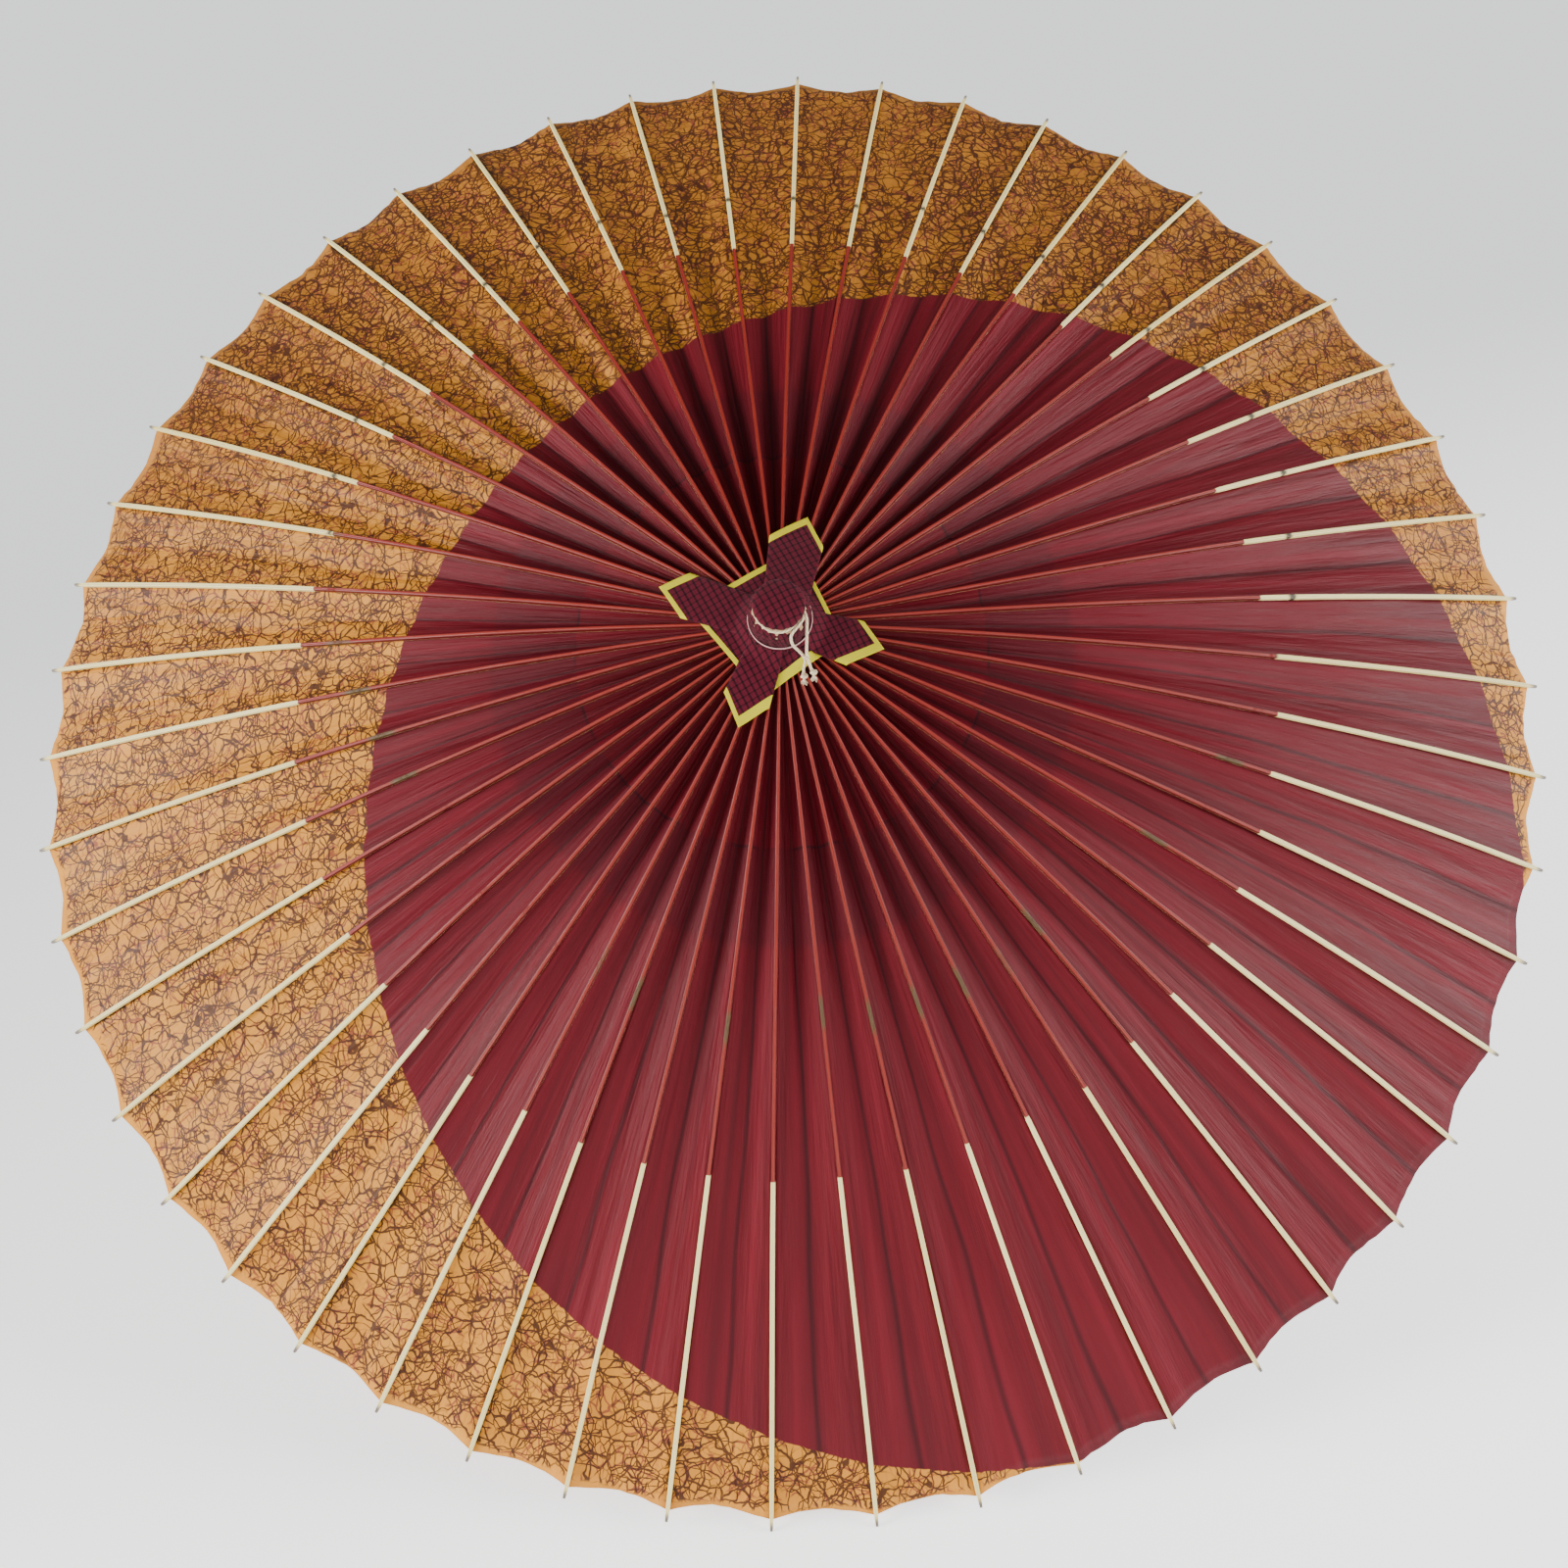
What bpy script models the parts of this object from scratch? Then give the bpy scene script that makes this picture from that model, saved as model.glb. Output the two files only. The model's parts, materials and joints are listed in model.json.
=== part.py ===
"""Oil paper umbrella with fifty bamboo ribs, open, resting on its rim and on the end of its handle.

The umbrella is built upright around its own axis, with the hub's rib pivots at height 0,
and hangs from one empty that leans it onto the floor. Every second rib and strut is a
separate piece here, with the slots for all fifty in the hub and the runner.
"""
import math

import bmesh
import bpy
from mathutils import Matrix, Vector

# Driving dimensions, in metres and degrees
RIB_COUNT = 50
RIB_STEP = 360.0 / RIB_COUNT
CANOPY_RADIUS = 0.550         # shaft axis to a rib tip, open
TIP_DEPTH = 0.208             # from the hub pivots down to the circle of rib tips
RIB_BOW = 0.0174              # how far a rib stands outside its own chord, at the middle
PIVOT_RADIUS = 0.018          # shaft axis to the pivots in the hub and in the runner
STRUT_JOINT_SHARE = 0.265     # where the strut meets the rib, as a share of the rib's length
GAP = 0.0003                  # left between pieces that touch

SHAFT_RADIUS = 0.0095
SHAFT_BOTTOM = -0.735
SHAFT_TOP = 0.010
BAMBOO_RINGS = (-0.425, -0.560, -0.722)
RING_RISE = 0.0007            # of the bamboo's rings above the shaft

FERRULE_RADIUS = 0.0112
FERRULE_HEIGHT = 0.012        # up the shaft from its lower end
FERRULE_FLOOR = 0.004         # under the end of the shaft
FERRULE_BEVEL = 0.001

TONGUE_WIDTH = 0.0013         # thin ends that sit in the hub's and the runner's slots
SLOT_WIDTH = 0.0017
SLOT_FLOOR = 0.0155
TEETH_RADIUS = 0.0215
FORK_WIDTH = 0.0034           # the strut's fork straddles the lug under the rib
FORK_GAP = 0.0017
LUG_WIDTH = 0.0011
LUG_DROP = 0.0034             # from the rib's inner face to the strut pivot
LUG_END = 0.0016              # of the lug past the pivot

PAPER_THICKNESS = 0.0004
PAPER_SHARES = (0.021, 0.105, 0.2595, 0.2705, 0.350, 0.520, 0.760, 0.988)  # along a rib

CATCH_HINGE = -0.215          # lower end of the spring catch, let into the shaft
CATCH_TIP = -0.152
CATCH_WIDTH = 0.0026
CATCH_THICKNESS = 0.0018
CATCH_NOSE = 0.0024           # how far the nose stands out of the shaft

CAP_CORNER_RADIUS = 0.076     # shaft axis to a corner of the square head cloth
CAP_SIDE_RADIUS = 0.036       # shaft axis to the gathered middle of a side
CAP_TURN = 19.5               # from straight up to the first corner
CAP_THICKNESS = 0.0008
CAP_FOOT_RADIUS = 0.021       # where the cloth leaves the knob for the ribs
CAP_OVER_RIBS = 0.0042        # middle of the cloth above the ribs' centres
CORD_RADIUS = 0.0011

# Width and depth of a rib at shares of its length
RIB_PROFILE = (
    (0.000, TONGUE_WIDTH, 0.0032),
    (0.021, TONGUE_WIDTH, 0.0034),
    (0.042, 0.0019, 0.0037),
    (0.105, 0.0022, 0.0038),
    (0.175, 0.0025, 0.0040),
    (0.2595, 0.0027, 0.0040),
    (0.2705, 0.0027, 0.0040),
    (0.350, 0.0028, 0.0040),
    (0.520, 0.0030, 0.0041),
    (0.760, 0.0035, 0.0041),
    (0.955, 0.0035, 0.0039),
    (0.983, 0.0029, 0.0033),
    (1.000, 0.0020, 0.0026),
)
STRUT_DEPTH = 0.0030

HUB_PIVOT = Vector((PIVOT_RADIUS, 0.0, 0.0))
RIB_TIP = Vector((CANOPY_RADIUS, 0.0, -TIP_DEPTH))
RIB_CHORD = RIB_TIP - HUB_PIVOT
RIB_LENGTH = RIB_CHORD.length
RIB_OUTWARD = Vector((-RIB_CHORD.z, 0.0, RIB_CHORD.x)).normalized()


def clear_scene():
    for existing in list(bpy.data.objects):
        bpy.data.objects.remove(existing, do_unlink=True)


def finish(name, colour, roughness, metallic=0.0):
    material = bpy.data.materials.new(name)
    material.use_nodes = True
    shader = material.node_tree.nodes["Principled BSDF"]
    shader.inputs["Base Color"].default_value = (*colour, 1.0)
    shader.inputs["Roughness"].default_value = roughness
    shader.inputs["Metallic"].default_value = metallic
    return material


def mesh_from(bm, name, smooth_angle=None):
    """Turns a finished bmesh into a mesh with its faces pointing out."""
    bmesh.ops.remove_doubles(bm, verts=bm.verts, dist=1e-7)
    bmesh.ops.recalc_face_normals(bm, faces=bm.faces)
    mesh = bpy.data.meshes.new(name)
    bm.to_mesh(mesh)
    bm.free()
    if smooth_angle is not None:
        mesh.shade_smooth()
        mesh.set_sharp_from_angle(angle=math.radians(smooth_angle))
    return mesh


def place(name, mesh, material, parent, matrix=Matrix.Identity(4)):
    """Adds one piece, its matrix given in its parent's own axes."""
    piece = bpy.data.objects.new(name, mesh)
    bpy.context.scene.collection.objects.link(piece)
    if not mesh.materials:
        mesh.materials.append(material)
    piece.parent = parent
    piece.matrix_local = matrix
    return piece


def turned(profile, segments, name):
    """Spins an outline of (radius, height) points round the vertical axis."""
    bm = bmesh.new()
    outline = [bm.verts.new((radius, 0.0, height)) for radius, height in profile]
    edges = [bm.edges.new(pair) for pair in zip(outline, outline[1:])]
    if profile[0][0] > 0.0:
        edges.append(bm.edges.new((outline[-1], outline[0])))
    bmesh.ops.spin(
        bm, geom=outline + edges, cent=(0, 0, 0), axis=(0, 0, 1),
        angle=math.tau, steps=segments, use_merge=True, use_duplicate=False,
    )
    return mesh_from(bm, name, smooth_angle=35)


def box(bm, low, high, turn=Matrix.Identity(4)):
    """Adds a box between two corners, then turned about the origin."""
    low, high = Vector(low), Vector(high)
    size = Matrix.Diagonal((*(high - low), 1.0))
    bmesh.ops.create_cube(bm, size=1.0, matrix=turn @ Matrix.Translation((low + high) / 2) @ size)


def carved(mesh, cutter, name):
    """Cuts one mesh out of another and returns what is left."""
    body = bpy.data.objects.new(name, mesh)
    tool = bpy.data.objects.new(name + "_cutter", cutter)
    for temporary in (body, tool):
        bpy.context.scene.collection.objects.link(temporary)
    tool.hide_render = True
    tool.display_type = "WIRE"
    cut = body.modifiers.new("cut", "BOOLEAN")
    cut.object = tool
    cut.operation = "DIFFERENCE"
    bpy.context.view_layer.update()
    result = bpy.data.meshes.new_from_object(body.evaluated_get(bpy.context.evaluated_depsgraph_get()))
    result.name = name
    for temporary in (body, tool):
        bpy.data.objects.remove(temporary, do_unlink=True)
    return result


def bar(bm, stations):
    """Lofts a four-sided bar through (centre, outward, width, depth) stations."""
    rings = []
    for centre, outward, width, depth in stations:
        side = Vector((0.0, width / 2, 0.0))
        rise = outward * depth / 2
        corners = (centre - side - rise, centre + side - rise, centre + side + rise, centre - side + rise)
        rings.append([bm.verts.new(corner) for corner in corners])
    bm.faces.new(rings[0])
    for near, far in zip(rings, rings[1:]):
        for k in range(4):
            bm.faces.new((near[k], near[k - 1], far[k - 1], far[k]))
    bm.faces.new(reversed(rings[-1]))
    return rings


def rib_point(share):
    """Centre of a rib, in the plane of the shaft, at a share of its length from the hub pivot."""
    bow = 4.0 * RIB_BOW * share * (1.0 - share)
    return HUB_PIVOT + RIB_CHORD * share + RIB_OUTWARD * bow


def rib_outward(share):
    """Direction square to the rib, away from the inside of the umbrella."""
    slope = 4.0 * RIB_BOW * (1.0 - 2.0 * share)
    along = RIB_CHORD + RIB_OUTWARD * slope
    return Vector((-along.z, 0.0, along.x)).normalized()


def rib_size(share):
    """Width and depth of a rib at a share of its length."""
    for (start, width_a, depth_a), (end, width_b, depth_b) in zip(RIB_PROFILE, RIB_PROFILE[1:]):
        if share <= end:
            blend = (share - start) / (end - start)
            return width_a + (width_b - width_a) * blend, depth_a + (depth_b - depth_a) * blend
    return RIB_PROFILE[-1][1:]


def strut_joint():
    """Pivot of the strut, under the rib's inner face."""
    half_depth = rib_size(STRUT_JOINT_SHARE)[1] / 2
    return rib_point(STRUT_JOINT_SHARE) - rib_outward(STRUT_JOINT_SHARE) * (half_depth + LUG_DROP)


JOINT = strut_joint()
STRUT_LENGTH = (JOINT - HUB_PIVOT).length
RUNNER_HEIGHT = 2.0 * JOINT.z
RUNNER_PIVOT = Vector((PIVOT_RADIUS, 0.0, RUNNER_HEIGHT))


def rib_mesh():
    """A split bamboo rib from its round tongue in the hub to its tapered tip, with the strut's lug."""
    bm = bmesh.new()
    tongue_depth = RIB_PROFILE[0][2]
    back = -RIB_CHORD.normalized()
    outward = rib_outward(0.0)
    stations = [
        (HUB_PIVOT + back * tongue_depth * 0.50, outward, TONGUE_WIDTH, tongue_depth * 0.40),
        (HUB_PIVOT + back * tongue_depth * 0.33, outward, TONGUE_WIDTH, tongue_depth * 0.78),
    ]
    for share, width, depth in RIB_PROFILE:
        stations.append((rib_point(share), rib_outward(share), width, depth))
    bar(bm, stations)
    bmesh.ops.recalc_face_normals(bm, faces=bm.faces)
    inward = -rib_outward(STRUT_JOINT_SHARE)
    under = [
        face for face in bm.faces
        if face.normal.dot(inward) > 0.9
        and abs((face.calc_center_median() - rib_point(STRUT_JOINT_SHARE)).length) < 0.004
    ]
    inset = (rib_size(STRUT_JOINT_SHARE)[0] - LUG_WIDTH) / 2
    bmesh.ops.inset_individual(bm, faces=under, thickness=inset, use_even_offset=True)
    lug = bmesh.ops.extrude_discrete_faces(bm, faces=under)["faces"]
    lug_length = LUG_DROP + LUG_END
    bmesh.ops.translate(bm, verts=lug[0].verts, vec=inward * lug_length)
    bmesh.ops.translate(bm, verts=bm.verts, vec=-HUB_PIVOT)
    return mesh_from(bm, "rib")


def strut_mesh():
    """A strut along its own X axis, from its forked end at the rib to its tongue in the runner."""
    bm = bmesh.new()
    up = Vector((0.0, 0.0, 1.0))
    sizes = (
        (-0.0015, FORK_WIDTH, STRUT_DEPTH * 0.8),
        (0.0070, FORK_WIDTH, STRUT_DEPTH),
        (0.0160, 0.0024, STRUT_DEPTH),
        (STRUT_LENGTH - 0.0260, 0.0019, STRUT_DEPTH),
        (STRUT_LENGTH - 0.0120, TONGUE_WIDTH, STRUT_DEPTH),
        (STRUT_LENGTH, TONGUE_WIDTH, STRUT_DEPTH),
        (STRUT_LENGTH + 0.0010, TONGUE_WIDTH, STRUT_DEPTH * 0.78),
        (STRUT_LENGTH + 0.0015, TONGUE_WIDTH, STRUT_DEPTH * 0.40),
    )
    bar(bm, [(Vector((x, 0.0, 0.0)), up, width, depth) for x, width, depth in sizes])
    blank = mesh_from(bm, "strut_blank")
    throat = bmesh.new()
    box(throat, (-0.010, -FORK_GAP / 2, -0.010), (0.0040, FORK_GAP / 2, 0.010))
    return carved(blank, mesh_from(throat, "fork_throat"), "strut")


def slot_cutter(low, high):
    """Fifty radial blades that cut the slots for rib or strut tongues."""
    bm = bmesh.new()
    for number in range(RIB_COUNT):
        turn = Matrix.Rotation(math.radians(RIB_STEP * (number + 0.5) - 90.0), 4, "Z")
        box(bm, (SLOT_FLOOR, -SLOT_WIDTH / 2, low), (TEETH_RADIUS + 0.01, SLOT_WIDTH / 2, high), turn)
    return mesh_from(bm, "slots")


def hub_mesh():
    """Turned wooden head: toothed flange for the ribs, a neck for the cord and a round knob."""
    bore = SHAFT_RADIUS + GAP
    profile = (
        (0.0, SHAFT_TOP + GAP), (bore, SHAFT_TOP + GAP), (bore, -0.012), (0.0145, -0.012),
        (0.0145, -0.0065), (TEETH_RADIUS - 0.001, -0.0065), (TEETH_RADIUS, -0.0055),
        (TEETH_RADIUS, 0.0040), (TEETH_RADIUS - 0.001, 0.0050), (0.0160, 0.0052), (0.0160, 0.0100),
        (0.0178, 0.0150), (0.0178, 0.0270), (0.0150, 0.0350), (0.0140, 0.0365), (0.0145, 0.0385),
        (0.0130, 0.0396), (0.0, 0.0400),
    )
    return carved(turned(profile, 30, "hub_blank"), slot_cutter(-0.008, 0.0062), "head_hub")


def runner_mesh():
    """Turned wooden runner: toothed flange for the struts over a long sleeve, with a keyway."""
    bore = SHAFT_RADIUS + 0.0005
    profile = (
        (bore, 0.0090), (0.0140, 0.0090), (0.0145, 0.0070), (TEETH_RADIUS - 0.001, 0.0065),
        (TEETH_RADIUS, 0.0055), (TEETH_RADIUS, -0.0040), (TEETH_RADIUS - 0.001, -0.0050),
        (0.0145, -0.0052), (0.0135, -0.0090), (0.0135, -0.0330), (0.0150, -0.0370),
        (0.0150, -0.0420), (0.0140, -0.0430), (bore, -0.0430),
    )
    blank = turned(profile, 30, "runner_blank")
    slotted = carved(blank, slot_cutter(-0.0062, 0.0075), "runner_slotted")
    keyway = bmesh.new()
    half = CATCH_WIDTH / 2 + 0.0006
    box(keyway, (-half, 0.0, -0.060), (half, SHAFT_RADIUS + CATCH_NOSE + 0.0006, 0.020))
    return carved(slotted, mesh_from(keyway, "keyway"), "runner")


def shaft_mesh():
    """Bamboo shaft with slightly raised rings and a groove for the spring catch."""
    profile = [(0.0, SHAFT_BOTTOM), (SHAFT_RADIUS - 0.0005, SHAFT_BOTTOM), (SHAFT_RADIUS, SHAFT_BOTTOM + 0.0005)]
    for ring in sorted(BAMBOO_RINGS):
        if ring > SHAFT_BOTTOM + 0.02:
            profile += [
                (SHAFT_RADIUS, ring - 0.006), (SHAFT_RADIUS + RING_RISE, ring - 0.0012),
                (SHAFT_RADIUS - 0.0002, ring), (SHAFT_RADIUS + RING_RISE, ring + 0.0012),
                (SHAFT_RADIUS, ring + 0.006),
            ]
    profile += [(SHAFT_RADIUS, SHAFT_TOP), (0.0, SHAFT_TOP)]
    groove = bmesh.new()
    half = CATCH_WIDTH / 2 + GAP
    box(groove, (-half, SHAFT_RADIUS - 0.0080, CATCH_HINGE - 0.003), (half, 0.020, CATCH_TIP + 0.003))
    return carved(turned(profile, 24, "shaft_blank"), mesh_from(groove, "groove"), "shaft")


def catch_mesh():
    """Springy bamboo tongue let into the shaft, its nose standing out under the runner."""
    bm = bmesh.new()
    length = CATCH_TIP - CATCH_HINGE
    outline = (
        (-CATCH_THICKNESS, -0.002), (0.0, -0.002), (0.0, length - 0.017), (CATCH_NOSE, length - 0.003),
        (CATCH_NOSE, length), (-CATCH_THICKNESS, length),
    )
    half = CATCH_WIDTH / 2
    face = bm.faces.new([bm.verts.new((-half, y, z)) for y, z in outline])
    grown = bmesh.ops.extrude_face_region(bm, geom=[face])["geom"]
    moved = [item for item in grown if isinstance(item, bmesh.types.BMVert)]
    bmesh.ops.translate(bm, verts=moved, vec=(CATCH_WIDTH, 0.0, 0.0))
    return mesh_from(bm, "catch_spring")


def ferrule_mesh():
    """Turned horn cap over the lower end of the shaft."""
    bore = SHAFT_RADIUS + GAP
    floor = SHAFT_BOTTOM - GAP
    rim = floor + FERRULE_HEIGHT
    end = floor - FERRULE_FLOOR
    wall = FERRULE_RADIUS
    profile = (
        (0.0, floor), (bore, floor), (bore, rim), (wall - 0.0003, rim), (wall, rim - 0.0005),
        (wall, end + 1.5 * FERRULE_BEVEL), (wall - FERRULE_BEVEL, end), (0.0, end),
    )
    return turned(profile, 24, "ferrule")


def paper_point(share):
    """Middle of the paper, which is glued under the ribs, at a share of a rib's length."""
    drop = rib_size(share)[1] / 2 + GAP + PAPER_THICKNESS / 2
    return rib_point(share) - rib_outward(share) * drop


def rib_share(radius):
    """Share of a rib's length at which its centre is at a radius."""
    low, high = 0.0, 1.0
    for _ in range(30):
        middle = (low + high) / 2
        if rib_point(middle).x < radius:
            low = middle
        else:
            high = middle
    return low


def rib_azimuths():
    """Azimuths of the ribs made here, from the front and round: the bottom and top pairs stand close."""
    side = [RIB_STEP / 2 + 2 * RIB_STEP * step for step in range(RIB_COUNT // 4 + 1)]
    return side + [360.0 - azimuth for azimuth in reversed(side)]


def radial(azimuth):
    """Turn that takes the plane y = 0 to an azimuth counted from the front of the umbrella."""
    return Matrix.Rotation(math.radians(azimuth - 90.0), 4, "Z")


def canopy_mesh():
    """One sheet of paper from hub to rim, with a slit for each strut lug."""
    bm = bmesh.new()
    outline = [paper_point(share) for share in PAPER_SHARES]
    slit_row = max(row for row, share in enumerate(PAPER_SHARES) if share < STRUT_JOINT_SHARE)
    slit_half = 0.0016
    joint_radius = outline[slit_row].x
    lugs = rib_azimuths()
    columns = []
    for number in range(RIB_COUNT):
        azimuth = RIB_STEP * (number + 0.5)
        if any(abs(azimuth - lug) < 0.1 for lug in lugs):
            half = math.degrees(slit_half / joint_radius)
            columns += [(azimuth - half, True), (azimuth + half, False)]
        else:
            columns.append((azimuth, False))
    grid = []
    for azimuth, _ in columns:
        turn = radial(azimuth)
        grid.append([bm.verts.new(turn @ point) for point in outline])
    for index, (_, opens_slit) in enumerate(columns):
        near, far = grid[index], grid[(index + 1) % len(grid)]
        for row in range(len(outline) - 1):
            if opens_slit and row == slit_row:
                continue
            bm.faces.new((near[row], near[row + 1], far[row + 1], far[row]))
    bmesh.ops.recalc_face_normals(bm, faces=bm.faces)
    return mesh_from(bm, "canopy_paper")


def cap_radius(clockwise):
    """Outline of the head cloth: four pointed flaps, gathered between."""
    from_corner = abs((clockwise - CAP_TURN + 45.0) % 90.0 - 45.0) / 45.0
    return CAP_SIDE_RADIUS + (CAP_CORNER_RADIUS - CAP_SIDE_RADIUS) * (1.0 - from_corner) ** 1.2


def cap_mesh():
    """Square of cloth over the knob, tied at the neck, its flaps lying over the ribs."""
    bm = bmesh.new()
    columns = 24
    over_knob = (
        (0.0095, 0.0410), (0.0142, 0.0403), (0.0156, 0.0388), (0.0150, 0.0362),
        (0.0166, 0.0340), (0.0188, 0.0280), (0.0190, 0.0160), (0.0196, 0.0120),
    )
    rings = []
    for column in range(columns):
        clockwise = CAP_TURN + 360.0 * column / columns
        away = Vector((math.sin(math.radians(clockwise)), math.cos(math.radians(clockwise)), 0.0))
        edge = cap_radius(clockwise)
        points = [away * radius + Vector((0.0, 0.0, height)) for radius, height in over_knob]
        for share in (0.15, 0.55, 1.0):
            radius = CAP_FOOT_RADIUS + (edge - CAP_FOOT_RADIUS) * share
            rise = CAP_OVER_RIBS + (0.0030 if share < 0.5 else 0.0)
            height = rib_point(rib_share(max(radius, PIVOT_RADIUS))).z + rise
            points.append(away * radius + Vector((0.0, 0.0, height)))
        rings.append([bm.verts.new(point) for point in points])
    crown = bm.verts.new((0.0, 0.0, 0.0414))
    for column, near in enumerate(rings):
        far = rings[(column + 1) % columns]
        bm.faces.new((crown, near[0], far[0]))
        for row in range(len(near) - 1):
            bm.faces.new((near[row], near[row + 1], far[row + 1], far[row]))
    bmesh.ops.recalc_face_normals(bm, faces=bm.faces)
    return mesh_from(bm, "head_cap", smooth_angle=60)


def thicken(piece, thickness):
    """Gives a sheet its thickness, half to each side."""
    solid = piece.modifiers.new("thickness", "SOLIDIFY")
    solid.thickness = thickness
    solid.offset = 0.0
    solid.use_even_offset = True


def smooth_route(points, spacing):
    """Points read at even steps from a smooth curve through the given points."""
    route = [points[0]]
    padded = [points[0]] + list(points) + [points[-1]]
    for before, start, end, after in zip(padded, padded[1:], padded[2:], padded[3:]):
        steps = max(1, round((end - start).length / spacing))
        for step in range(1, steps + 1):
            t = step / steps
            route.append(0.5 * (
                2 * start + (end - before) * t
                + (2 * before - 5 * start + 4 * end - after) * t ** 2
                + (3 * start - before - 3 * end + after) * t ** 3
            ))
    return route


def cord_route():
    """Tie cord: up one hanging tail, once round the knob under its crown, and down the other tail."""
    loop_radius = 0.0173
    height = 0.0362
    loop = []
    for step in range(15):
        clockwise = math.radians(122.0 + 336.0 * step / 14)
        loop.append(Vector((math.sin(clockwise) * loop_radius, math.cos(clockwise) * loop_radius, height)))
    first_tail = [
        Vector((0.0170, -0.0370, 0.0075)), Vector((0.0155, -0.0270, 0.0180)), Vector((0.0125, -0.0195, 0.0275)),
    ]
    second_tail = [
        Vector((0.0200, -0.0080, 0.0330)), Vector((0.0205, -0.0215, 0.0205)), Vector((0.0225, -0.0345, 0.0085)),
    ]
    return first_tail + loop + second_tail


def cord_piece(name, route, radius, material, parent):
    """A round cord through a list of points, with flat ends."""
    curve = bpy.data.curves.new(name, "CURVE")
    curve.dimensions = "3D"
    curve.bevel_depth = radius
    curve.bevel_resolution = 2
    curve.use_fill_caps = True
    spline = curve.splines.new("POLY")
    spline.points.add(len(route) - 1)
    for knot, point in zip(spline.points, route):
        knot.co = (*point, 1.0)
    curve.materials.append(material)
    piece = bpy.data.objects.new(name, curve)
    bpy.context.scene.collection.objects.link(piece)
    piece.parent = parent
    return piece


def lean_angle():
    """Tip forward from upright at which the lowest rib tips and the ferrule touch the floor together."""
    tip = rib_point(1.0) - rib_outward(1.0) * RIB_PROFILE[-1][2] / 2
    front = tip.x * math.cos(math.radians(RIB_STEP / 2))
    ferrule_front = FERRULE_RADIUS - FERRULE_BEVEL
    ferrule_height = SHAFT_BOTTOM - GAP - FERRULE_FLOOR
    return math.atan2(tip.z - ferrule_height, front - ferrule_front)


def settle(stand):
    """Moves the whole umbrella so that the middle of its footprint is on the floor at the origin."""
    bpy.context.view_layer.update()
    graph = bpy.context.evaluated_depsgraph_get()
    low = Vector((math.inf,) * 3)
    high = Vector((-math.inf,) * 3)
    for piece in bpy.context.scene.objects:
        if piece.type not in {"MESH", "CURVE"}:
            continue
        seen = piece.evaluated_get(graph)
        mesh = seen.to_mesh()
        for vertex in mesh.vertices:
            corner = seen.matrix_world @ vertex.co
            low = Vector(map(min, low, corner))
            high = Vector(map(max, high, corner))
        seen.to_mesh_clear()
    stand.location -= Vector(((low.x + high.x) / 2, (low.y + high.y) / 2, low.z))
    bpy.context.view_layer.update()


def build():
    clear_scene()
    bamboo = finish("pale_bamboo", (0.78, 0.60, 0.33), 0.45)
    dark_bamboo = finish("shaft_bamboo", (0.55, 0.36, 0.17), 0.40)
    turned_wood = finish("turned_wood", (0.47, 0.30, 0.16), 0.50)
    lacquer = finish("black_horn", (0.05, 0.04, 0.04), 0.30)
    paper = finish("oiled_paper", (0.38, 0.05, 0.06), 0.45)
    cloth = finish("checked_cloth", (0.11, 0.02, 0.04), 0.85)
    cotton = finish("cream_cord", (0.80, 0.68, 0.50), 0.80)

    stand = bpy.data.objects.new("umbrella_lean", None)
    bpy.context.scene.collection.objects.link(stand)
    stand.rotation_euler = (lean_angle(), 0.0, 0.0)

    place("shaft", shaft_mesh(), dark_bamboo, stand)
    place("head_hub", hub_mesh(), turned_wood, stand)
    place("ferrule", ferrule_mesh(), lacquer, stand)
    canopy = place("canopy_paper", canopy_mesh(), paper, stand)
    thicken(canopy, PAPER_THICKNESS)
    cap = place("head_cap", cap_mesh(), cloth, stand)
    thicken(cap, CAP_THICKNESS)
    cord_piece("cap_cord", smooth_route(cord_route(), 2.6 * CORD_RADIUS * 2), CORD_RADIUS, cotton, stand)

    catch_place = Matrix.Translation((0.0, SHAFT_RADIUS - 0.0002, CATCH_HINGE))
    place("catch_spring", catch_mesh(), bamboo, stand, catch_place)

    rib = rib_mesh()
    strut = strut_mesh()
    along = RUNNER_PIVOT - JOINT
    strut_turn = Matrix.Rotation(-math.atan2(along.z, along.x), 4, "Y")
    strut_place = Matrix.Translation(JOINT - HUB_PIVOT) @ strut_turn
    for number, azimuth in enumerate(rib_azimuths(), start=1):
        rib_place = radial(azimuth) @ Matrix.Translation(HUB_PIVOT)
        rib_piece = place(f"rib_{number:02d}", rib, bamboo, stand, rib_place)
        strut_piece = place(f"strut_{number:02d}", strut, bamboo, rib_piece, strut_place)
        if number == 1:
            pivot = bpy.data.objects.new("runner_pivot", None)
            bpy.context.scene.collection.objects.link(pivot)
            pivot_place = Matrix.Translation((STRUT_LENGTH, 0.0, 0.0))
            pivot.parent = strut_piece
            pivot.matrix_local = pivot_place
            upright = (rib_place @ strut_place @ pivot_place).inverted()
            runner_place = upright @ Matrix.Translation((0.0, 0.0, RUNNER_HEIGHT))
            place("runner", runner_mesh(), turned_wood, pivot, runner_place)
    settle(stand)


build()
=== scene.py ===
import json
import math

import bmesh
import bpy
from mathutils import Matrix, Vector, noise


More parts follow.
